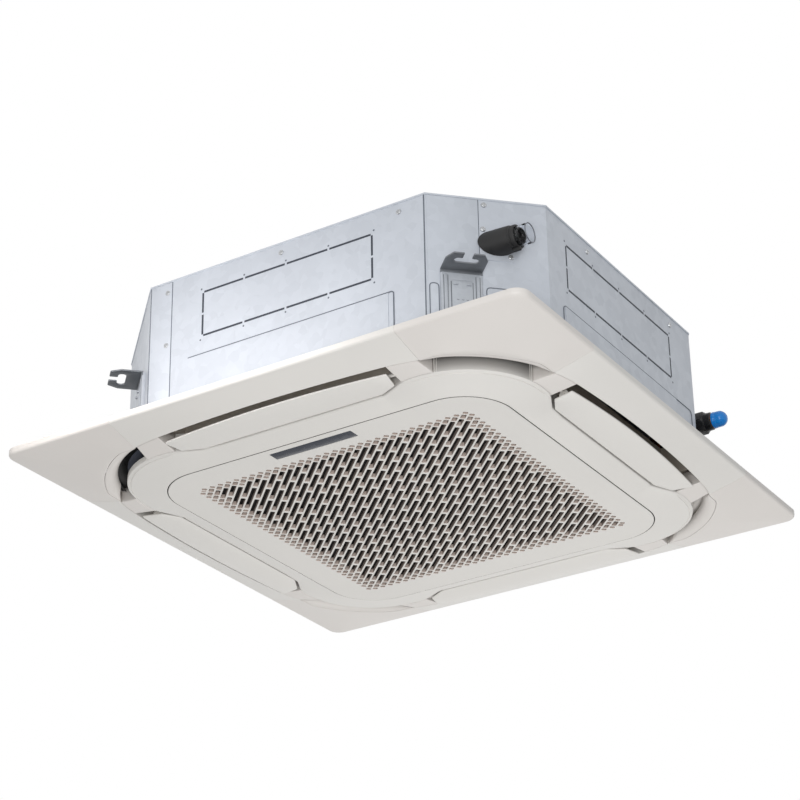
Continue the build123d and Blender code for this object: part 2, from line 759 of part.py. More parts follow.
def shroud_outline():
    return [(FAN_INLET_R, FAN_INLET_Z), (FAN_INLET_R + 2, -62), (180, -52), (200, -44), (FAN_R, FAN_RIM_Z)]


def raised(points, lift):
    return [(r, z + lift) for r, z in points]


def turbo_fan():
    """A cone hub and an inlet shroud, joined by swept blades, all one moulding."""
    hub_line = hub_outline()
    hub = turned(hub_line + raised(hub_line, FAN_SKIN)[::-1])
    boss = post(16, 0, 0, HUB_Z, HUB_Z + 24) - post(SHAFT_R + RUN_FIT, 0, 0, HUB_Z, HUB_Z + 24)
    shroud_line = shroud_outline()
    shroud = turned(shroud_line + raised(shroud_line, FAN_SKIN)[::-1])
    space = turned(raised(shroud_line, FAN_SKIN / 2) + [(r, z + 1) for r, z in hub_line[:0:-1]])
    inner_r = 150.0
    sweep = 38.0
    start = (inner_r, 0)
    end_angle = radians(sweep)
    stop = ((FAN_R - 3) * cos(end_angle), (FAN_R - 3) * sin(end_angle))
    mid_angle = radians(0.42 * sweep)
    mid_r = 0.5 * (inner_r + FAN_R)
    middle = (mid_r * cos(mid_angle), mid_r * sin(mid_angle))
    line = ThreePointArc(start, middle, stop)
    strip = make_face(trace(line, BLADE_T).edges())
    blade = plate(strip, FAN_INLET_Z, FAN_TOP_Z) & space
    fan = hub + boss + shroud
    for i in range(BLADES):
        fan = fan + about_z(i * 360 / BLADES, blade)
    return fan


def bell_mouth():
    flange_z = CEILING_Z - BELL_T
    outer = [
        (BELL_FLANGE_R, flange_z), (BELL_FLANGE_R, CEILING_Z), (222, CEILING_Z),
        (196, -104), (174, -90), (BELL_THROAT_R + BELL_T, -74), (BELL_THROAT_R + BELL_T, -64),
        (BELL_THROAT_R, -64), (BELL_THROAT_R, -75), (172, -93), (195, -107), (220, flange_z),
    ]
    return turned(outer)


# ---- drain pan, pump, float ---------------------------------------------------------------
def pan_slots(grow):
    """Air slots at the three corners without the pump."""
    slots = []
    for name in ("right", "back", "left"):
        n = cut_distance(name) - 2 * SHEET - LINER_T
        x = 55 + grow
        slot = block(-x, x, -n - grow, -n + 18 + grow, SEAL_Z, PAN_TOP_Z)
        slots.append(at_corner(name, slot))
    return slots


def drain_pan():
    pan = prism(octagon(2 * SHEET + FIT), CEILING_Z, PAN_TOP_Z)
    pan = pan - post(BELL_OPEN_R, 0, 0, CEILING_Z, PAN_TOP_Z)
    play = 6.0
    half = COIL_HALF + play
    floor = PAN_TOP_Z - TROUGH_DEPTH
    pan = pan - square_ring(half, COIL_R + play, COIL_T + 2 * play, floor, PAN_TOP_Z)
    outlet_out = CASE_HALF - 2 * SHEET - LINER_T
    for turn in SIDES.values():
        outlet = block(
            -WINDOW_HALF + 2, WINDOW_HALF - 2, -outlet_out, -WINDOW_IN, CEILING_Z, PAN_TOP_Z
        )
        pan = pan - about_z(turn, outlet)
    for slot in pan_slots(0):
        pan = pan - slot
    sump = block(-62, 50, -PUMP_N - 33, -PUMP_N + 33, SUMP_FLOOR_Z, PAN_TOP_Z)
    return pan - at_corner("near", sump)


def pump_point(u):
    return (PUMP_N + u) / sqrt(2), (u - PUMP_N) / sqrt(2)


def drain_pump():
    """Motor can, bracket to the corner wall, pump housing with its chamber and inlet."""
    x, y = pump_point(DRAIN_U)
    can = post(PUMP_R, x, y, PUMP_FOOT_Z, PUMP_CAN_TOP_Z)
    house = post(PUMP_HOUSE_R, x, y, PUMP_CHAMBER_Z - 5, PUMP_FOOT_Z)
    inlet = post(PUMP_INLET_R + 3, x, y, PUMP_INLET_Z, PUMP_CHAMBER_Z - 5)
    chamber = post(PUMP_CHAMBER_R, x, y, PUMP_CHAMBER_Z, PUMP_CHAMBER_Z + PUMP_CHAMBER_H)
    bore = post(PUMP_INLET_R, x, y, PUMP_INLET_Z, PUMP_CHAMBER_Z)
    shaft_bore = post(2.5 + RUN_FIT, x, y, PUMP_CHAMBER_Z, PUMP_FOOT_Z + 5)
    wall_n = cut_distance("near") - 2 * SHEET - LINER_T
    back = wall_n - PUMP_N
    bracket = block(FLOAT_U - 8, DRAIN_U, -PUMP_N - 8, -PUMP_N + 8, PUMP_FOOT_Z, PUMP_FOOT_Z + 3)
    arm = block(-12, 12, -PUMP_N - back, -PUMP_N, 4, 16)
    frame = at_corner("near", bracket + Pos(DRAIN_U, 0, 0) * arm)
    pump = can + house + inlet + frame
    return pump - chamber - bore - shaft_bore


def pump_impeller():
    x, y = pump_point(DRAIN_U)
    z0 = PUMP_CHAMBER_Z + 2
    z1 = PUMP_CHAMBER_Z + PUMP_CHAMBER_H - 3
    wheel = post(PUMP_CHAMBER_R - 3, x, y, z1 - 3, z1)
    wheel = wheel + post(2.5, x, y, z0, PUMP_FOOT_Z + 4)
    for turn in (0, 60, 120):
        vane = Box(2 * (PUMP_CHAMBER_R - 3.5), 1.6, z1 - z0 - 2)
        wheel = wheel + Pos(x, y, (z0 + z1 - 2) / 2) * Rot(0, 0, turn) * vane
    return wheel


def pump_riser():
    """The riser beside the pump, with the spigot that the drain pipe slides over."""
    x, y = RISER_X, RISER_Y
    riser = post(RISER_R, x, y, RISER_BOTTOM_Z, DRAIN_Z + RISER_R)
    plug = rod_x(DRAIN_R - DRAIN_WALL - FIT, x, x + DRAIN_R + 14, drain_point()[1], DRAIN_Z)
    px, py = pump_point(DRAIN_U)
    gap = sqrt((px - x) ** 2 + (py - y) ** 2)
    start = PUMP_HOUSE_R + FIT
    stub = Pos(0, 0, RISER_BOTTOM_Z + 3) * rod_x(4, start, gap, 0, 0)
    turn = atan2(y - py, x - px) * 180 / pi
    return riser + plug + Pos(px, py, 0) * about_z(turn, stub)


def float_guide():
    x, y = pump_point(FLOAT_U)
    stem = post(FLOAT_STEM_R, x, y, FLOAT_STOP_Z, PUMP_FOOT_Z)
    return stem + post(FLOAT_STEM_R + 3, x, y, FLOAT_STOP_Z, FLOAT_STOP_Z + 2)


def water_float():
    x, y = pump_point(FLOAT_U)
    z0 = FLOAT_STOP_Z + 2 + FIT
    return post(FLOAT_R, x, y, z0, z0 + FLOAT_H) - post(FLOAT_STEM_R + RUN_FIT, x, y, z0, z0 + FLOAT_H)


# ---- control box --------------------------------------------------------------------------
CTRL_TOP_Z = CEILING_Z - BELL_T - FIT
CTRL_BOTTOM_Z = CTRL_TOP_Z - CTRL_H


def control_box():
    outer = block(-CTRL_X, CTRL_X, -CTRL_OUT, -CTRL_IN, CTRL_BOTTOM_Z, CTRL_TOP_Z)
    t = CTRL_T
    inner = block(
        -CTRL_X + t, CTRL_X - t, -CTRL_OUT + t, -CTRL_IN - t, CTRL_BOTTOM_Z, CTRL_TOP_Z - t
    )
    return outer - inner


def control_box_cover():
    z1 = CTRL_BOTTOM_Z
    lid = block(-CTRL_X, CTRL_X, -CTRL_OUT, -CTRL_IN, z1 - CTRL_T, z1)
    t = CTRL_T + FIT
    lip = block(-CTRL_X + t, CTRL_X - t, -CTRL_OUT + t, -CTRL_IN - t, z1, z1 + 4)
    hollow = block(
        -CTRL_X + 2 * t, CTRL_X - 2 * t, -CTRL_OUT + 2 * t, -CTRL_IN - 2 * t, z1, z1 + 4
    )
    return lid + (lip - hollow)


def circuit_board():
    z1 = CTRL_TOP_Z - CTRL_T - 4
    board = block(-CTRL_X + 8, 90, -CTRL_OUT + 6, -CTRL_IN - 6, z1 - 1.6, z1)
    for x in (-CTRL_X + 14, 84):
        for y in (-CTRL_OUT + 12, -CTRL_IN - 12):
            board = board + post(3, x, y, z1, z1 + 4)
    for x, size in ((-150, 22), (-100, 16), (-40, 26), (30, 18)):
        board = board + block(x, x + size, -CTRL_IN - 50, -CTRL_IN - 30, z1 - 11, z1 - 1.6)
    return board


def terminal_block():
    z1 = CTRL_TOP_Z - CTRL_T
    bar = block(110, 182, -CTRL_OUT + 20, -CTRL_OUT + 44, z1 - 14, z1)
    for i in range(5):
        x = 114 + 14 * i
        bar = bar - block(x, x + 9, -CTRL_OUT + 20, -CTRL_OUT + 34, z1 - 14, z1 - 8)
    return bar


def receiver_board():
    """The board behind the display, on two spacers under the control box."""
    z1 = CTRL_BOTTOM_Z - CTRL_T
    y0 = DISPLAY_Y - 11
    board = block(DISPLAY_X - 60, DISPLAY_X + 60, y0, y0 + 20, z1 - 3.4, z1 - 2)
    for x in (DISPLAY_X - 50, DISPLAY_X + 50):
        board = board + post(3, x, y0 + 10, z1 - 2, z1)
    return board


# ---- panel --------------------------------------------------------------------------------
def rim_form(depth):
    """The rim as a full body, its surfaces moved in and up by depth."""
    half = PANEL_HALF - depth
    low = RIM_Z + depth
    radius = PANEL_CORNER_R - depth
    wide = square_face(half, radius)
    soft = square_face(half - PANEL_EDGE, radius)
    edge = plate(wide, low + PANEL_EDGE, CEILING_Z)
    turn = loft([Pos(0, 0, low) * soft, Pos(0, 0, low + PANEL_EDGE) * wide], ruled=True)
    slope = loft([Pos(0, 0, low - THROAT_DROP) * throat_face(0), Pos(0, 0, low) * soft], ruled=True)
    return edge + turn + slope


def corner_zone(grow):
    """The four corner areas that the covers fill, made larger by grow."""
    start = COVER_X - grow
    far = PANEL_HALF + 5
    zones = []
    for turn in SIDES.values():
        zone = block(start, far, -far, -start, GRILLE_Z, CEILING_Z)
        zones.append(about_z(turn, zone))
    return joined(zones)


def panel_rim():
    face = rim_form(0)
    back = rim_form(SKIN)
    seat = rim_form(SKIN + FIT)
    deep = rim_form(2 * SKIN + FIT)
    throat = plate(throat_face(0), GRILLE_Z, CEILING_Z)
    wall = plate(throat_face(WALL), THROAT_Z + SKIN / 2, SEAL_Z)
    ribs = []
    for turn in SIDES.values():
        for x in RIBS_X:
            rib = block(x - RIB_T / 2, x + RIB_T / 2, -PANEL_HALF + 1, -THROAT_MID, THROAT_Z, SEAL_Z)
            ribs.append(about_z(turn, rib))
    inside = rim_form(SKIN / 2)
    rim = (face - back) + wall + (joined(ribs) & inside)
    rim = rim - ((face - seat) & corner_zone(0))
    lap = 6.0
    layer = (seat - deep) & corner_zone(lap)
    collar = (back - deep) & (corner_zone(lap) - corner_zone(0))
    # at the corners the layer stops at a straight diagonal and the outlets bring the wall
    bare = THROAT_DIAG + 2
    inner = prism([(bare * sqrt(2), 0), (0, -bare * sqrt(2)), (-bare * sqrt(2), 0), (0, bare * sqrt(2))], GRILLE_Z, CEILING_Z)
    return (rim + layer + collar) - throat - (inner & corner_zone(0))


def corner_covers():
    cover = (rim_form(0) - rim_form(SKIN)) & corner_zone(-COVER_GAP)
    cover = cover - plate(throat_face(0), GRILLE_Z, CEILING_Z)
    return cover


def crown_form(depth):
    """The centre frame's sloping face as a full body, moved up by depth."""
    reach = ISLAND_HALF + ISLAND_REACH
    slope = (GRILLE_DROP - BRIDGE_DROP - 3.0) / (ISLAND_HALF - SEAM_HALF)
    low = GRILLE_Z + SEAM_RISE + depth
    high = low + slope * (reach - SEAM_HALF)
    wide = square_face(reach, ISLAND_R + 3)
    seam = square_face(SEAM_HALF, SEAM_R)
    cone = loft([Pos(0, 0, low) * seam, Pos(0, 0, high) * wide], ruled=True)
    return cone + plate(wide, high, CEILING_Z)


def corner_passage(top):
    """The way for air from inside the centre frame to a corner outlet, drawn towards -Y."""
    return block(-70, 70, -ISLAND_DIAG - 8, -ISLAND_DIAG + 40, SEAL_Z - 13, top)


def panel_island():
    island = island_face()
    body = plate(island, GRILLE_Z, SEAL_Z) & crown_form(0)
    core = plate(offset(island, -WALL, kind=Kind.INTERSECTION), GRILLE_Z, SEAL_Z)
    core = core - plate(square_face(SEAM_HALF + WALL, SEAM_R + WALL), GRILLE_Z, SEAL_Z)
    body = body - (core & crown_form(SKIN))
    ribs = []
    for turn in SIDES.values():
        for x in RIBS_X:
            rib = block(x - RIB_T / 2, x + RIB_T / 2, -WINDOW_IN + 1, -SEAM_HALF, GRILLE_Z, SEAL_Z - 8)
            ribs.append(about_z(turn, rib))
    body = body + (joined(ribs) & crown_form(SKIN / 2))
    seam = square_face(SEAM_HALF, SEAM_R)
    eased = square_face(SEAM_HALF + SEAM_EASE, SEAM_R + SEAM_EASE)
    low = GRILLE_Z + SEAM_RISE
    body = body - plate(seam, GRILLE_Z - 1, SEAL_Z)
    body = body - loft([Pos(0, 0, low) * eased, Pos(0, 0, low + SEAM_EASE) * seam], ruled=True)
    for angle in CORNERS.values():
        body = body - about_z(angle, corner_passage(SEAL_Z))
    for x in (-HINGE_X, HINGE_X):
        lug = block(
            x - LUG_W / 2, x + LUG_W / 2, HINGE_Y - HINGE_R - LUG_WALL, SEAM_HALF + 1,
            GRILLE_Z, HINGE_Z + HINGE_R + 1.5,
        )
        body = body + (lug - rod_x(HINGE_R + RUN_FIT, x - LUG_W, x + LUG_W, HINGE_Y, HINGE_Z))
    for x in (-CATCH_X, CATCH_X):
        half = CATCH_W / 2 + FIT
        body = body - block(
            x - half, x + half, -SEAM_HALF - WALL - 1, -SEAM_HALF + 1,
            CATCH_Z - CATCH_H / 2 - FIT, CATCH_Z + CATCH_H / 2 + FIT,
        )
    return body


def corner_outlet():
    """The curved outlet between two windows, at the near corner, with a motor bay each side."""
    far = PANEL_HALF
    low = GRILLE_Z
    sector = plate(throat_face(0), low, SEAL_Z) - plate(island_face(), low, SEAL_Z)
    sector = sector & block(WINDOW_HALF, far, -far, -WINDOW_HALF, low, SEAL_Z)
    inner = square_face(ISLAND_HALF, ISLAND_R)
    face = loft([Pos(0, 0, BRIDGE_Z) * inner, Pos(0, 0, THROAT_Z) * throat_face(0)], ruled=True)
    face = face + plate(throat_face(0), THROAT_Z, SEAL_Z)
    body = sector & face
    ledge = THROAT_Z + SLOT_STEP
    mouth = block(SLOT_END, far, -far, -SLOT_END, low, ledge)
    body = body - mouth
    walls = plate(throat_face(-2), low, SEAL_Z)
    walls = walls - plate(offset(island_face(), WALL, kind=Kind.INTERSECTION), low, SEAL_Z)
    roof = SEAL_Z - WALL
    body = body - (walls & block(SLOT_THROUGH, far, -far, -SLOT_THROUGH, low, roof))
    body = body - about_z(CORNERS["near"], corner_passage(roof))
    start = WINDOW_HALF + WALL
    floor = PIVOT_Z + STEPPER_RISE - STEPPER_R - FIT
    bay = block(
        start, start + MOTOR_BAY, -THROAT_MID + 18, -WINDOW_BEVEL_IN - 4, floor, SEAL_Z
    )
    pin = rod_x(PIN_R + RUN_FIT, WINDOW_HALF - 1, start + 1, -PIVOT_D, PIVOT_Z)
    one = bay + pin
    # the bay at the other end is the same one, mirrored in the corner's diagonal
    other = about_z(90, mirror(one, Plane.YZ))
    return body - one - other


def flap():
    """The front flap: a shallow curved plate, two arms and the pins that it turns on."""
    x_out, y_out = FLAP_OUT_HALF, -FLAP_OUT_D
    mid = -(THROAT_MID - FLAP_GAP)
    outline = [
        Line((-FLAP_IN_HALF, -FLAP_IN), (FLAP_IN_HALF, -FLAP_IN)),
        Line((FLAP_IN_HALF, -FLAP_IN), (FLAP_BEVEL_HALF, -FLAP_BEVEL_D)),
        Line((FLAP_BEVEL_HALF, -FLAP_BEVEL_D), (x_out, y_out)),
        ThreePointArc((x_out, y_out), (0, mid), (-x_out, y_out)),
        Line((-x_out, y_out), (-FLAP_BEVEL_HALF, -FLAP_BEVEL_D)),
        Line((-FLAP_BEVEL_HALF, -FLAP_BEVEL_D), (-FLAP_IN_HALF, -FLAP_IN)),
    ]
    plan = plate(make_face(outline), GRILLE_Z, CEILING_Z)
    d0, d1, d2 = FLAP_IN - 2, (FLAP_IN - mid) / 2, -mid + 2
    x0 = -FLAP_OUT_HALF - 1
    low = ThreePointArc((x0, -d0, FLAP_IN_Z), (x0, -d1, FLAP_MID_Z), (x0, -d2, FLAP_OUT_Z))
    high = Pos(0, 0, FLAP_T) * low
    ends = [Line(low @ 0, high @ 0), Line(low @ 1, high @ 1)]
    section = make_face([low, high] + ends)
    leaf = extrude(section, amount=-2 * x0, dir=(1, 0, 0)) & plan
    foot = PIVOT_Z - 10
    arm_line = [
        (PIVOT_D - 8, foot), (PIVOT_D + 10, foot), (PIVOT_D + 4, PIVOT_Z + 4), (PIVOT_D - 4, PIVOT_Z + 4)
    ]
    for x in (-ARM_X, ARM_X - ARM_T):
        leaf = leaf + side_profile(arm_line, x, x + ARM_T)
    pin_end = WINDOW_HALF + WALL + 1
    for x0, x1 in ((-pin_end, -ARM_X + 1), (ARM_X - 1, pin_end)):
        leaf = leaf + rod_x(PIN_R, x0, x1, -PIVOT_D, PIVOT_Z)
    return leaf


def flap_motors():
    """One geared motor at the end of each flap, its shaft below the middle of its can."""
    motors = []
    x0 = WINDOW_HALF + WALL + 1 + FIT
    for turn in SIDES.values():
        y = -PIVOT_D - STEPPER_SHIFT
        can = rod_x(STEPPER_R, x0, x0 + STEPPER_LEN, y, PIVOT_Z + STEPPER_RISE)
        motors.append(about_z(turn, can).solid())
    return Compound(children=motors)


def panel_gasket():
    inner = square_ring(WINDOW_IN - 1, ISLAND_R, WINDOW_IN - SEAM_HALF - 2, SEAL_Z, CEILING_Z)
    for slot in pan_slots(1):
        inner = inner - slot
    outer = plate(throat_face(WALL), SEAL_Z, CEILING_Z)
    outer = outer - prism(octagon(2 * SHEET + LINER_T), SEAL_Z, CEILING_Z)
    outer = outer - corner_zone(COVER_X - SLOT_END)
    return Compound(children=inner.solids() + outer.solids())


# ---- intake grille ------------------------------------------------------------------------
def row_bars(long_middle):
    """Where the bars across a row stand along it, outward to both sides."""
    bars = [] if long_middle else [SLOT_MIDDLE]
    first = LONG_HALF if long_middle else SHORT_FIRST
    right = SLOT_MIDDLE + first
    left = SLOT_MIDDLE - first
    reach = CELL_REACH * sqrt(2)
    while right < reach:
        bars.append(right)
        right += BAR_PITCH_RIGHT
    while left > -reach:
        bars.append(left)
        left -= BAR_PITCH_LEFT
    return sorted(bars)


def slot_rows():
    """The slots as (middle along the row, row, length). Rows run along the diagonal, every
    other one with a long middle slot, and each ends in two small cells."""
    reach = CELL_REACH * sqrt(2)
    count = int(reach / ROW_PITCH)
    slots = []
    for row in range(-count, count + 1):
        q = ROW_START + row * ROW_PITCH
        end = reach - abs(q)
        for p in (end, end - CELL_PITCH):
            if p > CELL_LEN:
                slots += [(p, q, CELL_LEN), (-p, q, CELL_LEN)]
        stop = end - MAIN_BACK
        edges = [-stop - SLOT_BAR / 2] + row_bars(row % 2 == 0) + [stop + SLOT_BAR / 2]
        for left, right in zip(edges, edges[1:]):
            p0 = max(left + SLOT_BAR / 2, -stop)
            p1 = min(right - SLOT_BAR / 2, stop)
            if p1 - p0 >= SLOT_MIN:
                slots.append(((p0 + p1) / 2, q, p1 - p0))
    return slots


def with_slots(outer):
    """An outline with every slot of the field as a hole in it."""
    holes = []
    for p, q, length in slot_rows():
        hole = about_z(-45, Pos(p, q) * Rectangle(length, SLOT_W))
        holes.append(hole.face().outer_wire())
    return Face(outer.face().outer_wire(), holes)


def intake_grille():
    """The door's frame first, then the slotted field joined into its opening."""
    z1 = GRILLE_Z + GRILLE_T
    lens = Pos(DISPLAY_X, DISPLAY_Y) * Rectangle(DISPLAY_W, DISPLAY_H)
    field = square_face(FIELD_HALF, FIELD_R)
    door = plate(square_face(GRILLE_HALF, GRILLE_R) - field - lens, GRILLE_Z, z1)
    half = GRILLE_HALF - GRILLE_FLANGE_IN
    flange = square_ring(half, GRILLE_R - GRILLE_FLANGE_IN, WALL, z1, z1 + GRILLE_FLANGE_H)
    door = door + flange
    lip_z = FILTER_Z + FILTER_T + FIT
    x0 = FILTER_HALF + FIT
    for side in (-1, 1):
        web = block(x0, x0 + RAIL_T, -RAIL_HALF, RAIL_HALF, z1, lip_z + RAIL_T)
        lip = block(x0 - RAIL_LIP, x0, -RAIL_HALF, RAIL_HALF, lip_z, lip_z + RAIL_T)
        rail = web + lip
        door = door + (rail if side > 0 else mirror(rail, Plane.YZ))
    for x in (-HINGE_X, HINGE_X):
        room = LUG_W / 2 + NOTCH_GAP
        notch = block(
            x - room, x + room, HINGE_Y - HINGE_R - LUG_WALL - 1.5 * NOTCH_GAP, GRILLE_HALF + 1,
            GRILLE_Z - 1, z1 + GRILLE_FLANGE_H + 1,
        )
        pin = rod_x(HINGE_R, x - HINGE_PIN / 2, x + HINGE_PIN / 2, HINGE_Y, HINGE_Z)
        door = (door - notch) + pin
    return door + plate(with_slots(field), GRILLE_Z, GRILLE_Z + FIELD_T)


def display_window():
    """A dark lens, pushed into its window from behind until its flange stops it."""
    z1 = GRILLE_Z + GRILLE_T
    w, h = DISPLAY_W / 2 - 0.1, DISPLAY_H / 2 - 0.1
    x, y = DISPLAY_X, DISPLAY_Y
    pane = block(x - w, x + w, y - h, y + h, GRILLE_Z + 0.3, z1)
    s = LENS_STEP
    return pane + block(x - w - s, x + w + s, y - h - s, y + h + s, z1, z1 + 1.5)


def air_filter():
    z0 = FILTER_Z
    frame = block(-FILTER_HALF, FILTER_HALF, -FILTER_HALF, FILTER_HALF, z0, z0 + FILTER_T)
    inner = FILTER_HALF - FILTER_BAR
    frame = frame - block(-inner, inner, -inner, inner, z0, z0 + FILTER_T)
    for place in (-inner / 3, inner / 3):
        frame = frame + block(place - 2, place + 2, -inner, inner, z0, z0 + FILTER_T)
        frame = frame + block(-inner, inner, place - 2, place + 2, z0, z0 + FILTER_T)
    z = z0 + FILTER_T / 2
    return frame + block(-inner, inner, -inner, inner, z, z + FILTER_NET_T)


def grille_catch(x):
    """A spring catch: its nose lies against the grille's flange, its head behind the frame."""
    nose_y = -(GRILLE_HALF - GRILLE_FLANGE_IN) - FIT
    wall_y = -SEAM_HALF - WALL - FIT
    half = CATCH_W / 2
    z0 = CATCH_Z - CATCH_H / 2
    nose = block(x - half, x + half, wall_y, nose_y, z0, z0 + CATCH_H)
    head = block(x - half - 3, x + half + 3, wall_y - 3, wall_y, z0, z0 + CATCH_H + 3)
    return nose + head


# ---- the parts ----------------------------------------------------------------------------
def build():
    parts = {"top_plate": top_plate()}
    for name in SIDES:
        parts["side_wall_" + name] = side_wall(name)
    parts["insulation_liner"] = insulation_liner()
    for name in CORNERS:
        parts["hanger_bracket_" + name] = hanger_bracket(name)
    parts["casing_screws"] = casing_screws()
    parts["drain_plate"] = drain_plate()
    parts["drain_sleeve"] = drain_sleeve()
    parts["drain_pipe"] = drain_pipe()
    parts["refrigerant_pipes"] = refrigerant_pipes()
    parts["flare_nuts"] = flare_nuts()
    parts["pipe_caps"] = pipe_caps()
    parts["pipe_cover"] = pipe_cover()
    parts["coil_fins"] = coil_fins()
    parts["coil_end_plates"] = coil_end_plates()
    parts["coil_returns"] = coil_returns()
    parts["fan_motor"] = fan_motor()
    parts["motor_mounts"] = motor_mounts()
    parts["fan_shaft"] = fan_shaft()
    parts["fan_nut"] = fan_nut()
    parts["turbo_fan"] = turbo_fan()
    parts["bell_mouth"] = bell_mouth()
    parts["drain_pan"] = drain_pan()
    parts["drain_pump"] = drain_pump()
    parts["pump_impeller"] = pump_impeller()
    parts["pump_riser"] = pump_riser()
    parts["float_guide"] = float_guide()
    parts["water_float"] = water_float()
    parts["control_box"] = control_box()
    parts["control_box_cover"] = control_box_cover()
    parts["circuit_board"] = circuit_board()
    parts["terminal_block"] = terminal_block()
    parts["receiver_board"] = receiver_board()
    parts["panel_rim"] = panel_rim()
    parts["panel_island"] = panel_island()
    covers = corner_covers().solids()
    outlet = corner_outlet()
    leaf = flap()
    for i, name in enumerate(CORNERS):
        turn = 90.0 * i
        parts["corner_outlet_" + name] = about_z(turn, outlet)
        angle = radians(CORNERS[name])
        out = Vector(sin(angle), -cos(angle), 0)
        parts["corner_cover_" + name] = max(covers, key=lambda solid: solid.center().dot(out))
    for name, turn in SIDES.items():
        parts["flap_" + name] = about_z(turn, leaf)
    parts["flap_motors"] = flap_motors()
    parts["panel_gasket"] = panel_gasket()
    parts["intake_grille"] = intake_grille()
    parts["display_window"] = display_window()
    parts["air_filter"] = air_filter()
    parts["grille_catch_left"] = grille_catch(-CATCH_X)
    parts["grille_catch_right"] = grille_catch(CATCH_X)
    return parts


os.makedirs("parts", exist_ok=True)
for node, shape in build().items():
    export_step(shape, "parts/" + node + ".step")
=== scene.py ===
import json
from math import cos, pi, radians, sin, sqrt

import bpy
import bmesh
import numpy as np
from mathutils import Matrix, Vector
from mathutils.geometry import delaunay_2d_cdt


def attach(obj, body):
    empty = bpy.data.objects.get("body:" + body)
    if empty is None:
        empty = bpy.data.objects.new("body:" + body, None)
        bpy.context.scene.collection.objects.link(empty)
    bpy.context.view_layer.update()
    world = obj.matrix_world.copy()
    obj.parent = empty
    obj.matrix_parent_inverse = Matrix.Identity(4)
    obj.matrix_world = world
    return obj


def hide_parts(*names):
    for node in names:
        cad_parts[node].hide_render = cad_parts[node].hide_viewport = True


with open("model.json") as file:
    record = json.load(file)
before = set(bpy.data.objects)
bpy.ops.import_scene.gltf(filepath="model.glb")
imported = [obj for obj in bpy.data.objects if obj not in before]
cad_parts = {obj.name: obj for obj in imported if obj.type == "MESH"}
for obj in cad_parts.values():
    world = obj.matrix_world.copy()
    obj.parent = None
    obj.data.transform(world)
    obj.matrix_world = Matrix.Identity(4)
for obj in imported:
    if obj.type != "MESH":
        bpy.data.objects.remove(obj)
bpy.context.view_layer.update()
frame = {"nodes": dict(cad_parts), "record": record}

bl_info = {
    "name": "Ceiling cassette pieces",
    "version": (1, 0, 0),
    "blender": (4, 5, 0),
    "location": "View3D > Sidebar > Cassette",
    "description": "Dresses the packed ceiling cassette: panel, flaps, grille, brackets and fittings",
    "category": "Object",
}

MM = 0.001

# levels in millimetres, as in the part's source
CEILING_Z, CASE_TOP_Z, SEAL_Z, RIM_Z = -112.0, 133.0, -115.0, -124.0
THROAT_Z, BRIDGE_Z, GRILLE_Z = -140.0, -146.0, -158.0
SIDES = {"front": 0.0, "right": 90.0, "back": 180.0, "left": 270.0}
CORNERS = {"near": 45.0, "right": 135.0, "back": 225.0, "left": 315.0}

# casing: half its side, its sheet, and each corner cut measured along the side
CASE_HALF, SHEET = 420.0, 1.2
LEGS = {"near": 134.0, "right": 215.0, "back": 188.0, "left": 188.0}
KNOCK = {"front": (32.0, 317.0), "right": (-51.0, 350.0), "back": (0.0, 317.0), "left": (0.0, 317.0)}
KNOCK_LOW, KNOCK_HIGH = 14.0, 92.0
SCREWS = {
    "front": ((-197, 112), (-197, 17), (23, 115), (239, 115)),
    "right": ((-155, 115), (132, 115)),
    "back": ((-130, 115), (130, 115)),
    "left": ((-130, 115), (130, 115)),
}
CUT_SCREWS = ((-3.0, 122.0, 0.0), (-6.0, 78.6, 1.3), (36.4, 33.7, 1.3))

# brackets: place along the corner cut, half width, thickness, stand-off from the wall
HANGER_AT = {"near": -42.0, "right": 88.0, "back": -70.0, "left": 61.0}
HANGER_HALF, HANGER_T, HANGER_STAND = 32.3, 2.5, 6.0

# panel: the seam's rounded square, the centre frame's corner arc, the gap at a cover's seam, the
# radius of the rim's edge, and the x at which the corner outlets' bands of painted shade end
SEAM_FLAT, SEAM_R = 227.0, 86.5
FRAME_C, FRAME_R = 235.0, 139.54
SEAM_GAP, RIM_EDGE, BAND_END = 0.14, 5.0, 256.5
BOWL_BACK, BOWL_WIDE, BOWL_TOP_Z = 10.0, 20.0, -124.6
PIVOT_D, PIVOT_Z = 384.0, RIM_Z - 13.0
# section of the chamfer at a corner outlet: share of its width, depth of its groove
CHAMFER = ((0.05, 0.5), (0.10, 0.9), (0.20, 0.9), (0.25, 0.4), (0.28, 0.0), (0.6, 0.0), (1.0, 0.0))

# middle of the drain pipe's root, and the near corner cut's distance from the unit's middle
CUT_NEAR = (2 * CASE_HALF - LEGS["near"]) / sqrt(2)
DRAIN = np.array([(CUT_NEAR + 15.0) / sqrt(2), (15.0 - CUT_NEAR) / sqrt(2), 56.0])
PIPE_Y = 266.0
# each valve: nut across its flats, its start, its length, collar, cap's radius and length, height
VALVES = {
    "gas": (34.0, 387.0, 36.0, 1.4, 14.0, 24.6, -7.0),
    "liquid": (20.0, 372.0, 16.0, 1.4, 8.0, 15.0, -54.0),
}


def rgb(red, green, blue):
    """A colour given in display values from 0 to 255, as linear light."""
    values = np.array([red, green, blue]) / 255.0
    linear = np.where(values <= 0.04045, values / 12.92, ((values + 0.055) / 1.055) ** 2.4)
    return (*linear.tolist(), 1.0)


# ---- points -------------------------------------------------------------------------------
def spin_xy(p, degrees):
    """Points turned about the Z axis."""
    out = np.array(p, float)
    c, s = cos(radians(degrees)), sin(radians(degrees))
    x, y = out[..., 0], out[..., 1]
    out[..., 0], out[..., 1] = x * c - y * s, x * s + y * c
    return out


def over_diagonal(p):
    """Points mirrored in the near corner's diagonal: (x, y) becomes (-y, -x)."""
    return p[..., [1, 0, 2]] * (-1, -1, 1)


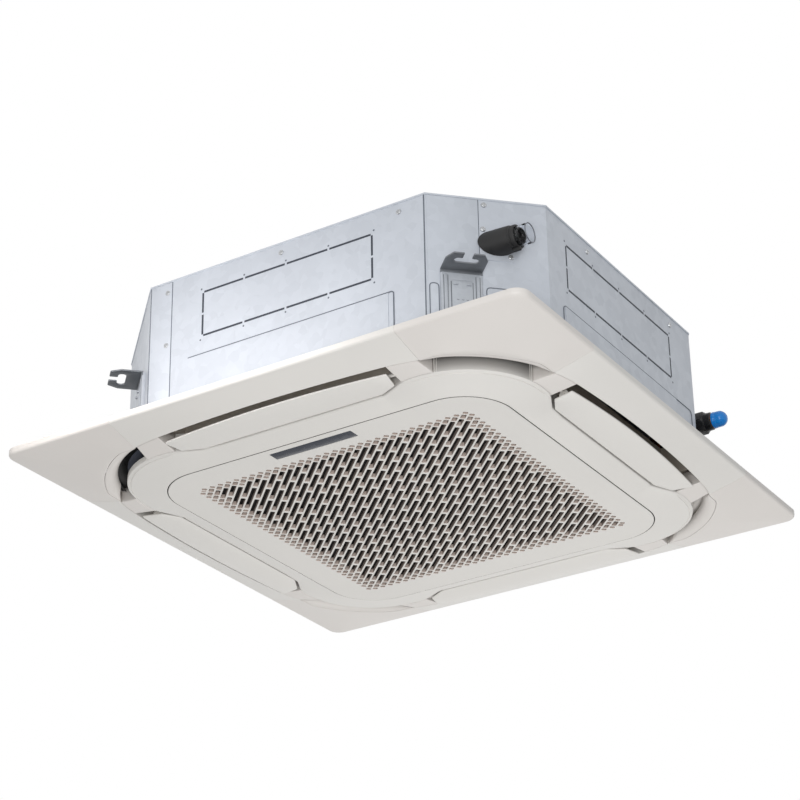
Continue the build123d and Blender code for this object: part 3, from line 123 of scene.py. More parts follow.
def at_height(plan, z):
    """Plan points with a height, either one for all or one for each."""
    return np.column_stack([plan, np.broadcast_to(np.ravel(z), len(plan))])


def prism(section, places):
    """A section of (out, z) points at each place along X, with out towards the front."""
    section = np.asarray(section, float)
    return np.array([np.column_stack([np.full(len(section), x), -section[:, 0], section[:, 1]])
                     for x in places])


def line(a, b, n=3):
    """n points from a to b, both kept."""
    t = np.linspace(0.0, 1.0, n)[:, None]
    return np.asarray(a, float) * (1 - t) + np.asarray(b, float) * t


def arc(centre, radius, start, stop, n):
    """n points on a circle, angles in degrees."""
    a = np.radians(np.linspace(start, stop, n))
    return np.asarray(centre, float) + radius * np.column_stack([np.cos(a), np.sin(a)])


def full_turn(n):
    """n angles round a circle, the last one short of the first."""
    return np.linspace(0, 2 * pi, n, endpoint=False)


def rect(x0, x1, y0, y1):
    return [(x0, y0), (x1, y0), (x1, y1), (x0, y1)]


def both_sides(points):
    """A list of (x, y) followed by its mirror image in the Y axis, so that the loop closes."""
    return points + [(-x, y) for x, y in points[::-1]]


def rounded(points, radii, n=6):
    """A closed outline with its corners rounded by arcs. At a corner whose edges meet at twice
    the angle h the arc touches them at radius / tan(h), and is drawn as the rational quadratic
    curve by way of the corner with the middle weight sin(h)."""
    points = np.asarray(points, float)
    radii = np.broadcast_to(np.asarray(radii, float), len(points))
    u, v = np.roll(points, 1, 0) - points, np.roll(points, -1, 0) - points
    u, v = (edge / np.linalg.norm(edge, axis=1)[:, None] for edge in (u, v))
    half = np.arccos(np.clip((u * v).sum(1), -1, 1)) / 2
    reach = (radii / np.tan(half))[:, None]
    start, stop = points + u * reach, points + v * reach
    t = np.linspace(0, 1, n)[None, :, None]
    middle = 2 * t * (1 - t) * np.sin(half)[:, None, None]
    p = (1 - t) ** 2 * start[:, None] + middle * points[:, None] + t ** 2 * stop[:, None]
    p = p / ((1 - t) ** 2 + t ** 2 + middle)
    return np.vstack([p[i] if radii[i] > 0 else points[i:i + 1] for i in range(len(points))])


def bent(points, radius=6.0):
    """An open path with its inner corners rounded by quadratic curves."""
    points = np.asarray(points, float)
    t = np.linspace(0, 1, 7)[:, None]
    rows = [points[:1]]
    for before, here, after in zip(points, points[1:], points[2:]):
        start, stop = (here + (p - here) / np.linalg.norm(p - here) * radius for p in (before, after))
        rows.append((1 - t) ** 2 * start + 2 * t * (1 - t) * here + t ** 2 * stop)
    return np.vstack(rows + [points[-1:]])


def grown(outline, by):
    """A closed outline that runs anticlockwise, moved outwards along its normals."""
    ahead = np.roll(outline, -1, 0) - np.roll(outline, 1, 0)
    length = np.maximum(np.linalg.norm(ahead, axis=1), 1e-9)[:, None]
    return outline + np.column_stack([ahead[:, 1], -ahead[:, 0]]) / length * by


def square_loop(half, radius, n=12):
    """A square with rounded corners, n points to each."""
    c = half - radius
    hubs = ((c, -c), (c, c), (-c, c), (-c, -c))
    return np.vstack([arc(hub, radius, 90 * k - 90, 90 * k, n) for k, hub in enumerate(hubs)])


def fill(outline, holes=(), grains=None):
    """Triangles between an outline and its holes, with loose points in between. Returns the
    points, the outline's first and then each hole's, and the triangles. Holes are convex, so a
    triangle with all its corners on one hole lies inside it and is dropped."""
    loops = [np.asarray(loop, float) for loop in (outline, *holes)]
    points = np.vstack(loops + ([] if grains is None else [grains]))
    edges, start = [], 0
    for loop in loops:
        ids = np.arange(start, start + len(loop))
        edges.append(np.column_stack([ids, np.roll(ids, -1)]))
        start += len(loop)
    owner = np.full(len(points), -1)
    owner[:start] = np.repeat(np.arange(len(loops)), [len(loop) for loop in loops])
    out = delaunay_2d_cdt([Vector(p) for p in points.tolist()], np.vstack(edges).tolist(), [], 1, 1e-6)
    origin = np.array([o[0] if len(o) else -1 for o in out[3]])
    tri = origin[np.array([f for f in out[2] if len(f) == 3])]
    k = owner[tri]
    inside = (k[:, 0] == k[:, 1]) & (k[:, 1] == k[:, 2]) & (k[:, 0] > 0)
    tri = tri[~inside & (tri.min(1) >= 0)]
    a, b, c = points[tri[:, 0]], points[tri[:, 1]], points[tri[:, 2]]
    area = (b[:, 0] - a[:, 0]) * (c[:, 1] - a[:, 1]) - (b[:, 1] - a[:, 1]) * (c[:, 0] - a[:, 0])
    tri[area < 0] = tri[area < 0][:, ::-1]
    return points, tri[np.abs(area) > 1e-9]


def turned(profile, centre, n, flute=None):
    """A line of (radius, x) points turned about an axis along X. flute(angle) scales the radius."""
    profile = np.asarray(profile, float)
    a = full_turn(n)
    r = profile[:, :1] * (flute(a) if flute else np.ones(n))
    return np.stack([np.repeat(profile[:, 1:], n, 1), r * np.cos(a), r * np.sin(a)], -1) + centre


def rings(rows, centre, n):
    """Rings about an axis along X, each from an x and a radius that may vary round it; a
    ring's first point is its highest."""
    a = full_turn(n)
    return np.array([np.stack([x + 0 * a, r * np.sin(a), r * np.cos(a)], -1) for x, r in rows]) + centre


# ---- meshes -------------------------------------------------------------------------------
class Shell:
    """Grids and polygons in millimetres, gathered for one mesh."""

    def __init__(self):
        self.points, self.faces, self.count = [], [], 0

    def add(self, points):
        points = np.asarray(points, float).reshape(-1, 3)
        self.points.append(points)
        self.count += len(points)
        return np.arange(self.count - len(points), self.count)

    def shut(self, rows, flip=False):
        """Adds one polygon for each row of point numbers."""
        self.faces += (rows[:, ::-1] if flip else rows).tolist()

    def grid(self, p, along=False, around=False, flip=False):
        """Point [i, j] joins [i, j + 1], [i + 1, j + 1] and [i + 1, j]; along closes the
        first index and around the second."""
        p = np.asarray(p, float)
        ids = self.add(p).reshape(p.shape[:2])
        a = np.vstack([ids, ids[:1]]) if along else ids
        a = np.hstack([a, a[:, :1]]) if around else a
        self.shut(np.stack([a[:-1, :-1], a[:-1, 1:], a[1:, 1:], a[1:, :-1]], -1).reshape(-1, 4), flip)
        return ids

    def swept(self, p, flip=False):
        """A closed section, index j, carried along a path, index i, with both ends shut."""
        ids = self.grid(p, around=True, flip=flip)
        self.shut(ids[:1], flip)
        self.shut(ids[-1:], not flip)

    def slab(self, outline, z0, z1, ease=0.8, steps=3, put=None, lift=None, grains=None):
        """A plate between z0 and z1 with rounded edges. Ring a of the rounding stands in from
        the outline by ease * (1 - sin a) and off the face by ease * (1 - cos a). lift(y) bends
        the plate, and put carries the finished points anywhere."""
        outline = np.asarray(outline, float)
        put = put or (lambda p: p)

        def ring(loop, z):
            return at_height(loop, (lift(loop[:, 1]) if lift else 0) + z)

        angles = np.linspace(0, pi / 2, steps + 1)
        rows = [ring(grown(outline, -ease * (1 - sin(a))), z + way * ease * (1 - cos(a)))
                for z, way, turns in ((z0, 1, angles), (z1, -1, angles[::-1])) for a in turns]
        self.grid(put(np.array(rows)), around=True, flip=True)
        points, tri = fill(grown(outline, -ease), (), grains)
        for z, flip in ((z0, True), (z1, False)):
            self.shut(self.add(put(ring(points, z)))[tri], flip)

    def mesh(self, name, turn=0.0, weld=True):
        mesh = bpy.data.meshes.new(name)
        points = spin_xy(np.vstack(self.points), turn)
        mesh.from_pydata((points * MM).tolist(), [], self.faces)
        if weld:
            work = bmesh.new()
            work.from_mesh(mesh)
            bmesh.ops.remove_doubles(work, verts=work.verts, dist=0.00001)
            bmesh.ops.dissolve_degenerate(work, edges=work.edges, dist=0.000001)
            bmesh.ops.recalc_face_normals(work, faces=work.faces)
            work.to_mesh(mesh)
            work.free()
        mesh.update()
        return mesh


def sheet(p, **how):
    """A new shell that holds one grid."""
    shell = Shell()
    shell.grid(p, **how)
    return shell


def place(name, shell, body, slot, stands_for=(), turn=0.0, looks=(), sharp=32.0, bevel=0.0,
          thick=0.0, weld=True):
    """Puts a shell into the scene as one piece, with its body, its modifiers and its finishes:
    the slot's own, or the ones in looks."""
    mesh = shell.mesh(name, turn, weld)
    mesh.polygons.foreach_set("use_smooth", np.ones(len(mesh.polygons), bool))
    mesh.set_sharp_from_angle(angle=radians(sharp))
    obj = bpy.data.objects.new(name, mesh)
    bpy.context.scene.collection.objects.link(obj)
    for look in looks or (slot,):
        mesh.materials.append(finish(look))
    if thick:
        wall = obj.modifiers.new("Wall", "SOLIDIFY")
        wall.thickness = thick * MM
        wall.offset = -1.0
    if bevel:
        soft = obj.modifiers.new("Soft edges", "BEVEL")
        soft.width = bevel * MM
        soft.segments = 2
        soft.limit_method = "ANGLE"
        soft.angle_limit = radians(40)
        soft.harden_normals = False
    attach(obj, body)
    if stands_for:
        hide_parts(*stands_for)
    return obj


def face_data(mesh):
    """The middle, in millimetres, and the normal of each face."""
    found = []
    for what, unit in (("center", MM), ("normal", 1.0)):
        values = np.zeros(3 * len(mesh.polygons))
        mesh.polygons.foreach_get(what, values)
        found.append(values.reshape(-1, 3) / unit)
    return found


# ---- outlines of this object --------------------------------------------------------------
def throat_numbers(sizes):
    """The throat is a bow of a large circle on each side and a smaller circle at each corner
    that touches both bows and passes the diagonal at the stated distance."""
    mid, diag, side_r = sizes.throat_mid / MM, sizes.throat_diagonal / MM, sizes.throat_bow / MM
    centre, spare = side_r - mid, side_r - diag
    corner = (spare ** 2 - centre ** 2) / (2 * (centre - sqrt(2) * spare))
    corner_r = diag - corner * sqrt(2)
    return mid, side_r, corner, corner_r, corner * side_r / (side_r - corner_r)


def throat_at(sizes, x):
    """Distance of the throat from the unit's middle, at x along a side."""
    mid, side_r, corner, corner_r, tangent = throat_numbers(sizes)
    x = np.abs(x)
    bow = np.sqrt(side_r ** 2 - x ** 2) - (side_r - mid)
    turn = corner + np.sqrt(np.maximum(corner_r ** 2 - (x - corner) ** 2, 0))
    return np.where(x > tangent, turn, bow)


def frame_at(x):
    """Distance of the centre frame's corner arc from the unit's middle, at x."""
    return FRAME_C + np.sqrt(FRAME_R ** 2 - (x - FRAME_C) ** 2)


def corner_arc(centre, radius, x_end, d, n):
    """Round the near corner on the circle about (centre, -centre), from (x_end, -d) to
    (d, -x_end)."""
    start = np.degrees(np.arctan2(centre - d, x_end - centre))
    return arc((centre, -centre), radius, start, -90 - start, n)


def throat_corner(sizes, x_end, n):
    corner, corner_r = throat_numbers(sizes)[2:4]
    return corner_arc(corner, corner_r, x_end, throat_at(sizes, x_end), n)


def frame_corner(x_end, n):
    return corner_arc(FRAME_C, FRAME_R, x_end, frame_at(x_end), n)


def smooth(t):
    """Zero below 0, one above 1, and t * t * (3 - 2 t) between."""
    t = np.clip(t, 0.0, 1.0)
    return t * t * (3 - 2 * t)


def openness(plan):
    """Zero beside the bridges and one along a corner outlet, by the smaller coordinate."""
    return smooth((np.abs(plan).min(axis=1) - 262.5) / 34.0)[:, None]


def seam_reach(plan):
    """Distance from the flat core of the seam's rounded square."""
    return np.linalg.norm(plan - np.clip(plan, -SEAM_FLAT, SEAM_FLAT), axis=1)


# ---- decor panel --------------------------------------------------------------------------
def rim_section(throat, outer, normal, lip=0.9):
    """Sections of the hollow rim. Along index i go the throat point, the point where the edge
    starts to round, and its outward normal; along index j the section runs up the throat
    wall's face, over its lip, down the slope z = throat level + drop * t, round the edge on a
    circle, up the wall, and back along the inside 2.6 mm behind the face."""
    inward = outer - throat
    reach = np.linalg.norm(inward, axis=1)[:, None]
    inward = inward / reach
    drop, back = RIM_Z - THROAT_Z, 2.6
    rows = [(throat, z) for z in (SEAL_Z - 0.2, -127.0, THROAT_Z + lip)]
    rows += [(throat + inward * (lip * (1 - cos(a))), THROAT_Z + lip * (1 - sin(a)) + 0.05)
             for a in np.radians((30, 60, 90))]
    rows += [(throat + inward * reach * t, THROAT_Z + drop * t) for t in np.linspace(0.09, 0.94, 12)]
    rows += [(outer + normal * RIM_EDGE * sin(a), RIM_Z + RIM_EDGE * (1 - cos(a)))
             for a in np.radians(np.linspace(8, 90, 8))]
    rows += [(outer + normal * (RIM_EDGE - off), z)
             for off, z in ((0.0, CEILING_Z - 0.6), (0.5, CEILING_Z - 0.1), (back, CEILING_Z - 0.1),
                            (back, RIM_Z + RIM_EDGE + back))]
    rows += [(throat + inward * reach * t, THROAT_Z + drop * t + back + 0.3)
             for t in np.linspace(0.96, 0.12, 8)]
    rows += [(throat + inward * back, z) for z in (THROAT_Z + 5.0, SEAL_Z - 0.2)]
    return np.stack([at_height(plan, z) for plan, z in rows], 1)


def rim_side(sizes):
    """One side of the rim, with sections at x from seam to seam, and five ribs behind it."""
    shell = Shell()
    end, half = sizes.cover_seam / MM - SEAM_GAP, sizes.side / MM / 2
    x = end * np.sin(np.linspace(-1, 1, 70) * pi / 2) * 0.25 + np.linspace(-end, end, 70) * 0.75
    throat = np.column_stack([x, -throat_at(sizes, x)])
    outer = np.column_stack([x, np.full_like(x, RIM_EDGE - half)])
    shell.swept(rim_section(throat, outer, np.array([(0.0, -1.0)])))
    for rib_x in (-180.0, -90.0, 0.0, 90.0, 180.0):
        inner = float(throat_at(sizes, rib_x)) + 2.4
        section = [(inner, -135.0), (half - 3.0, -118.5), (half - 3.0, -113.5), (inner, -115.5)]
        shell.swept(prism(section, (rib_x - 1.0, rib_x + 1.0)))
    return shell


def corner_cover(sizes):
    """The near corner's cover: the throat's arc and the panel's outer corner, matched by their
    share of length from one seam to the other."""
    seam, half = sizes.cover_seam / MM + SEAM_GAP, sizes.side / MM / 2 - RIM_EDGE
    r = sizes.corner_radius / MM
    c, side_n, turn_n = half - r, 34, 17
    outer = np.vstack([line((seam, -half), (c, -half), side_n)[:-1], arc((c, -c), r, -90, 0, turn_n),
                       line((half, -c), (half, -seam), side_n)[1:]])
    normal = np.vstack([np.tile((0.0, -1.0), (side_n - 1, 1)), arc((0, 0), 1.0, -90, 0, turn_n),
                        np.tile((1.0, 0.0), (side_n - 1, 1))])
    step = np.linalg.norm(np.diff(outer, axis=0), axis=1)
    share = np.append(0, np.cumsum(step)) / step.sum()
    k, k_r = throat_numbers(sizes)[2:4]
    start = np.arctan2(k - throat_at(sizes, seam), seam - k)
    a = start + share * (-pi / 2 - 2 * start)
    ray = np.column_stack([np.cos(a), np.sin(a)])
    throat = ray * k_r + (k, -k)
    throat = throat + ray * BOWL_BACK * openness(throat)
    shell = Shell()
    shell.swept(rim_section(throat, outer, normal, 0.6))
    return shell


def frame_outline():
    """The centre frame's edge: window edges, bevels and corner arcs, with softened corners."""
    side = np.vstack([line((-150, -351), (155, -351), 46), arc((155, -333), 18, -90, -64, 7)[1:]])
    bevel = line((172.0, -353.5), (203.0, -368.8), 8)
    quarter = np.vstack([side[2:-1], bevel, frame_corner(214.0, 60), -bevel[::-1, ::-1]])
    return np.vstack([spin_xy(quarter, 90 * k) for k in range(4)])


def centre_frame():
    """The frame between the grille and the windows. P runs round its outer edge and Q is the
    nearest point of the seam's rounded square; the section goes from Q to P and back. The
    slope rises in proportion to the distance. Its outer edge rounds off at the windows and has
    a grooved chamfer, wide * high, at the corner outlets."""
    p = frame_outline()
    core = np.clip(p, -SEAM_FLAT, SEAM_FLAT)
    q = core + SEAM_R * (p - core) / np.linalg.norm(p - core, axis=1)[:, None]
    length = np.linalg.norm(p - q, axis=1)[:, None]
    e = (p - q) / length
    low = np.abs(p).min(axis=1)
    corner = smooth((low - 205.0) / 30.0)[:, None]
    wide, high, r = 0.3 + 5.2 * corner, 0.1 + 2.5 * corner, 1.9 - 0.9 * corner
    seam_z, edge_z = -157.5, -147.0 - 0.6 * corner
    flange_z, flange_t = SEAL_Z - 8.0, 2.5
    # the wall stands lower where air passes to a corner outlet, less so at the near corner
    across = np.abs(np.abs(p[:, 0]) - np.abs(p[:, 1])) / sqrt(2)
    near = (p[:, 0] > 0) & (p[:, 1] < 0)
    passage = (across < np.where(near, 40.0, 74.0)) & (low > 200)
    top = np.where(passage, np.where(near, -119.0, -136.5), SEAL_Z - 0.3)

    def slope(dist):
        return seam_z + (edge_z - seam_z) * dist / length

    flat_end = length - r - wide
    base = slope(flat_end)
    edge = base + high
    rows = [(0, z) for z in (flange_z, -135.0, seam_z + 0.9)]
    rows += [(0.8 * (1 - cos(a)), seam_z + 0.8 * (1 - sin(a)) + 0.1) for a in np.radians((30, 60, 90))]
    rows += [(flat_end * t, slope(flat_end * t)) for t in np.linspace(0.06, 1, 14)]
    rows += [(flat_end + wide * t, base + high * t + groove * corner) for t, groove in CHAMFER]
    rows += [(length - r + r * sin(a), edge + r * (1 - cos(a)) + 0.25 * r * sin(a))
             for a in np.radians(np.linspace(15, 90, 6))]
    rows += [(length, -138.0), (length, top), (length - flange_t, top), (length - flange_t, edge + 6.0)]
    rows += [(flat_end * t, slope(flat_end * t) + 3.0) for t in np.linspace(0.9, 0.15, 5)]
    rows += [(flange_t, seam_z + 4.5), (flange_t, flange_z)]
    shell = sheet(np.stack([at_height(q + e * dist, z) for dist, z in rows], 1), along=True, around=True)
    for x in (-180.0, 180.0):
        lug = rounded(rect(x - 4.0, x + 4.0, 308.3, 314.5), 0.4, 3)
        shell.slab(lug, GRILLE_Z + 0.05, -154.0, ease=0.36, steps=2)
    return shell


def outlet_floor(sizes):
    """The bridge from a window to the open slot at the near corner, as one sheet. Index i
    walks away from the window, index j crosses from the centre frame to the throat: up the
    window's end wall, over a rounded edge, along the flush plane, and up again at the slot."""
    x_end, x_open, lean = 209.7, 264.6, 6.4
    cross = np.linspace(0, 1, 12)
    roof = SEAL_Z - 1.2
    levels = (0.0, 0.35, 0.7, 0.92)

    def across(x, share=1.0, lift=0.0):
        """Points across the strip at x, which leans back towards the throat by its share of the
        way. share is the height's part of the way from the roof to the bridge's own level."""
        x = x - lean * cross * (x - x_end) / (x_open - x_end)
        d_in = frame_at(x)
        d = d_in + (throat_at(sizes, x) - d_in) * cross
        z = BRIDGE_Z + (THROAT_Z + 0.25 - BRIDGE_Z) * cross
        return np.column_stack([x, -d, roof + (z - roof) * share + lift])

    rows = [across(x_end, share) for share in levels]
    rows += [across(x_end + 1.2 * (1 - cos(a)), lift=1.2 * (1 - sin(a))) for a in np.radians((25, 55, 90))]
    rows += [across(x) for x in np.linspace(x_end + 3.0, x_open - 2.0, 10)]
    rows += [across(x_open - 1.6 + 1.6 * sin(a), lift=1.6 * (1 - cos(a)))
             for a in np.radians((20, 45, 70, 90))]
    rows += [across(x_open, share) for share in levels[::-1]]
    shell = sheet(np.array(rows))
    shell.grid(over_diagonal(np.array(rows[::-1])))
    return shell


def outlet_bowl(sizes):
    """The outlet's outer wall: from the cover's edge it follows a quarter of an ellipse, half
    axes wide and high, and then stands up. Both axes grow with the openness."""
    throat = throat_corner(sizes, 263.0, 80)
    k, least = throat_numbers(sizes)[2], 1.2
    ray = throat - (k, -k)
    ray = ray / np.linalg.norm(ray, axis=1)[:, None]
    share = openness(throat)
    wide = least + (BOWL_WIDE - least) * share
    high = least + (BOWL_TOP_Z - THROAT_Z - 1.6) * share
    start = throat + ray * (BOWL_BACK * share - 0.8)
    rows = [(0, THROAT_Z + 2.2)]
    rows += [(wide * sin(a), THROAT_Z + 0.35 + high * (1 - cos(a)))
             for a in np.radians(np.linspace(0, 90, 13))]
    rows += [(wide, BOWL_TOP_Z)]
    return sheet(np.stack([at_height(start - ray * back, z) for back, z in rows], 1))


def outlet_band(sizes, rows, steps=34):
    """A band along the open slot of the near corner through (share, z) rows: share 0 is the
    centre frame's edge and 1 the throat."""
    inner, outer = frame_corner(BAND_END, steps), throat_corner(sizes, BAND_END, steps)
    return sheet(np.stack([at_height(inner * (1 - share) + outer * share, z) for share, z in rows], 1))


def outlet_ribs():
    """An upright bead on the centre frame's wall at both ends of a corner outlet's slot."""
    shell = Shell()
    for x, half, out in ((266.4, 0.6, 1.5), (269.6, 0.5, 0.8)):
        root, crest = frame_at(x) - 0.6, frame_at(x) + out
        section = [(root, -117.6), (crest, -117.6), (crest, -144.0), (root, -145.6)]
        bead = prism(section, (x - half, x + half))
        shell.swept(bead)
        shell.swept(over_diagonal(bead))
    return shell


# ---- flaps --------------------------------------------------------------------------------
def flap_height(d):
    """The leaf's lower face: a parabola through its inner edge, its middle and its outer edge."""
    t = (d - 356.0) / 60.0
    low, mid, out = RIM_Z - 22.6, RIM_Z - 24.4, RIM_Z - 21.3
    return low + (4 * mid - 3 * low - out) * t + (2 * low + 2 * out - 4 * mid) * t ** 2


def flap_leaf():
    """A flap on the front side: its plan is rounded at every corner and its height depends on
    the distance from the unit's middle alone. Two cranked arms carry it on its pins."""
    shell = Shell()
    edge_y, inner_y = -405.5, -354.4
    bow_r = (201.0 ** 2 + 10.0 ** 2) / 20.0
    bow_x = np.linspace(-199.5, 199.5, 61)
    bow = np.column_stack([bow_x, -(np.sqrt(bow_r ** 2 - bow_x ** 2) - bow_r + 416.0)])
    key = [(-204.6, edge_y), (204.6, edge_y), (197, -370.8), (165, inner_y), (-165, inner_y),
           (-197, -370.8)]
    corner = rounded(key, [2.5, 2.5, 5.0, 14.0, 14.0, 5.0], 6)
    inner = line((152, inner_y), (-152, inner_y), 44)
    outline = np.vstack([corner[:6], bow, corner[6:24], inner, corner[24:]])
    gx, gy = np.meshgrid(np.linspace(-180, 180, 37), np.linspace(-363, -408, 8))
    grains = np.column_stack([gx.ravel(), gy.ravel()])
    grains = grains[(np.abs(grains[:, 0]) < 152) | (grains[:, 1] < -378)]
    shell.slab(outline, 0.0, 3.0, ease=1.1, lift=lambda y: flap_height(-y), grains=grains)
    crank = [(376, -147.5), (396, -147.0), (391, -138), (388.5, -132.4), (379.5, -132.4), (377, -140)]
    arm = rounded(crank, [1, 1, 4, 4, 4, 3], 5)
    pin = [(0, 0), (2.1, 0), (2.5, 0.5), (2.5, 23.0), (2.1, 23.5), (0, 23.5)]
    collar = [(0, 0), (4.4, 0), (4.8, 0.5), (4.8, 3.6), (4.4, 4.2), (0, 4.2)]
    for arm_x, pin_x, collar_x in ((-192.0, -212.5, -191.8), (189.0, 188.5, 187.6)):
        shell.slab(arm[::-1], arm_x, arm_x + 3.0, ease=0.5, steps=2,
                   put=lambda p: p[..., [2, 0, 1]] * (1, -1, 1))
        for profile, x, n in ((pin, pin_x, 20), (collar, collar_x, 24)):
            shell.grid(turned(profile, (x, -PIVOT_D, PIVOT_Z), n), around=True, flip=True)
    return shell


# ---- intake grille ------------------------------------------------------------------------
def slot_places(sizes):
    """(middle along the row, row, length) of each slot. Rows run along the diagonal; every
    other one has a long middle slot, and each ends in a cell and a half cell; the short rows
    at the two tips hold equal cells."""
    pitch, start = sizes.row_pitch / MM, -3.5
    middle, bar = -11.0, 6.4
    small, cell, gap, gap_in = 6.2, 12.0, 3.6, 3.2
    tip = 252.0 * sqrt(2) + 4.25
    count = int(tip / pitch)
    places = []
    for row in range(-count, count + 1):
        q = start + row * pitch
        end = tip - abs(q)
        if end < small + 1.0:
            continue
        places += [(end - small / 2, q, small), (-(end - small / 2), q, small)]
        inner = end - small - gap
        stop = inner - cell - gap_in
        if stop < 4.0:
            cells = max(1, round((2 * inner + gap_in) / (cell + gap_in)))
            size = (2 * inner - gap_in * (cells - 1)) / cells
            if size > 3.2:
                places += [(-inner + size / 2 + k * (size + gap_in), q, size) for k in range(cells)]
            continue
        places += [(inner - cell / 2, q, cell), (-(inner - cell / 2), q, cell)]
        even = row % 2 == 0
        first = 43.0 if even else 76.5
        right = np.arange(middle + first, tip, 68.7)
        left = np.arange(middle - first, -tip, -65.3)
        bars = np.sort(np.concatenate([left, right, [] if even else [middle]]))
        bars = bars[np.abs(bars) < stop - 9.0]
        edges = np.concatenate([[-stop - bar / 2], bars, [stop + bar / 2]])
        places += [((a + b) / 2, q, b - a) for a, b in zip(edges[:-1] + bar / 2, edges[1:] - bar / 2)]
    return np.array(places)


def slot_loops(sizes, grow=0.0):
    """Each slot as a rectangle with rounded corners, 12 points, turned 45 degrees."""
    places, r = slot_places(sizes), 1.1
    a = (np.radians([-90, -45, 0]) + np.arange(4)[:, None] * pi / 2).ravel()
    hub = np.repeat(np.array([(1, -1), (1, 1), (-1, 1), (-1, -1)], float), 3, 0)
    half = np.column_stack([places[:, 2] / 2 - r, np.full(len(places), sizes.slot_width / MM / 2 - r)])
    local = hub[None] * half[:, None] + np.column_stack([np.cos(a), np.sin(a)])[None] * (r + grow)
    return spin_xy(local + places[:, None, :2], -45)


def grille_door(sizes):
    """The door: a thin face with a rounded edge and a lens opening, and a field 7 mm thick
    where the slots are. Each slot's wall runs between its loop on the lower face, eased
    outwards by half a millimetre, and its loop on the field's back. Also returns the number of
    the first face of the slots' walls."""
    shell = Shell()
    outline, field = square_loop(312.0, 85.0, 22), square_loop(260.0, 16.0, 8)
    ease, back_z, field_z = 1.0, GRILLE_Z + 3.0, GRILLE_Z + 7.0
    lens = rounded(rect(-81, 71, -300, -278), 1.2, 4)
    lens_low = grown(lens, 0.4)
    rows = [at_height(grown(outline, -ease * (1 - sin(a))), GRILLE_Z + ease * (1 - cos(a)))
            for a in np.linspace(0, pi / 2, 6)]
    shell.grid(np.array(rows + [at_height(outline, back_z)]), around=True, flip=True)
    low, mid = slot_loops(sizes, 0.45), slot_loops(sizes)
    for loop, holes, z, flip in ((grown(outline, -ease), [*low, lens_low], GRILLE_Z, True),
                                 (field, mid, field_z, False), (outline, [field, lens], back_z, False)):
        points, tri = fill(loop, holes)
        shell.shut(shell.add(at_height(points, z))[tri], flip)
    shell.grid(np.array([at_height(field, z) for z in (back_z, field_z)]), around=True, flip=True)
    wall = ((lens_low, GRILLE_Z), (lens, GRILLE_Z + 0.4), (lens, back_z))
    shell.grid(np.array([at_height(loop, z) for loop, z in wall]), around=True)
    first_wall = len(shell.faces)
    levels = ((low, GRILLE_Z), (mid, GRILLE_Z + 0.45), (mid, field_z))
    walls = np.stack([np.concatenate([loops, np.full((*loops.shape[:2], 1), z)], -1)
                      for loops, z in levels], 1)
    for slot_wall in walls:
        shell.grid(slot_wall, around=True)
    return shell, first_wall


def grille_back():
    """What the door carries behind its face: the flange all round, two filter rails and the
    hinge pins."""
    outer, inner = square_loop(309.5, 82.5, 16), square_loop(307.0, 80.0, 16)
    z0, z1 = GRILLE_Z + 3.0, GRILLE_Z + 13.0
    loops = ((inner, z0), (outer, z0), (outer, z1 - 0.5), (grown(outer, -0.5), z1), (grown(inner, 0.5), z1),
             (inner, z1 - 0.5))
    shell = sheet(np.stack([at_height(loop, z) for loop, z in loops], 1), along=True, around=True)
    rail = [(266.3, z0), (268.3, z0), (268.3, -141.4), (262.3, -141.4), (262.3, -143.4), (266.3, -143.4)]
    for side in (-1, 1):
        shell.swept(prism(rail, (-200.0, 200.0))[..., [1, 0, 2]] * (-side, 1, 1))
    pin = [(0, 0), (0.8, 0), (1.0, 0.3), (1.0, 23.7), (0.8, 24.0), (0, 24.0)]
    for x in (-192.0, 168.0):
        shell.grid(turned(pin, (x, 310.0, GRILLE_Z + 1.5), 14), around=True, flip=True)
    return shell


def display_lens():
    """A dark pane with a rounded edge, just inside its opening, and the flange behind it."""
    shell = Shell()
    pane = rounded(rect(-80.8, 70.8, -299.8, -278.2), 1.2, 4)
    flange = rounded(rect(-84, 74, -303, -275), 2.0, 4)
    shell.slab(pane, GRILLE_Z + 0.35, GRILLE_Z + 3.0, ease=0.5)
    shell.slab(flange, GRILLE_Z + 3.02, GRILLE_Z + 4.5, ease=0.3)
    return shell


# ---- fasteners and fittings ---------------------------------------------------------------
def cross_screw(shell, put, radius=4.5, height=2.4):
    """A pan head: the dome's height falls with the square of the radius, and a cross is sunk
    into its middle where either plan coordinate is small. put carries (x, out, z) points to
    the place, with out along the screw."""
    r, a = np.linspace(0, 1, 16)[:, None] * radius, full_turn(48)
    u, v = r * np.cos(a), r * np.sin(a)
    share = r / radius
    dome = height * (1 - 0.35 * share ** 2 - 0.585 * np.clip((share - 0.8) / 0.2, 0, 1) ** 2)
    arm, reach = 0.17 * radius, 0.62 * radius
    near, far = np.minimum(np.abs(u), np.abs(v)), np.maximum(np.abs(u), np.abs(v))
    depth = np.where((near < arm) & (far < reach), 0.55 * height * (1 - 0.7 * far / reach), 0)
    shell.grid(put(np.stack([u, dome - depth, v], -1)), around=True)
    skirt = [np.stack([u[-1], 0 * a + out, v[-1]], -1) for out in (0.09 * height, 0.0)]
    shell.grid(put(np.array(skirt)), around=True)


def put_on(turn, distance, x, z):
    """Carries (x, out, z) points onto the face at a distance from the unit's middle."""
    return lambda p: spin_xy(p * (1, -1, 1) + (x, -distance, z), turn)


def on_wall(name, x=0.0, z=0.0):
    return put_on(SIDES[name], CASE_HALF - SHEET, x, z)


def on_cut(name, u=0.0, z=0.0, off=0.0):
    """Carries points onto a corner cut: x along it, y outward, z up."""
    return put_on(CORNERS[name], (2 * CASE_HALF - LEGS[name]) / sqrt(2) - SHEET + off, u, z)


def upright(put):
    """Swaps height and outward distance, so that a slab stands against a face."""
    return lambda p: put(p[..., [0, 2, 1]])


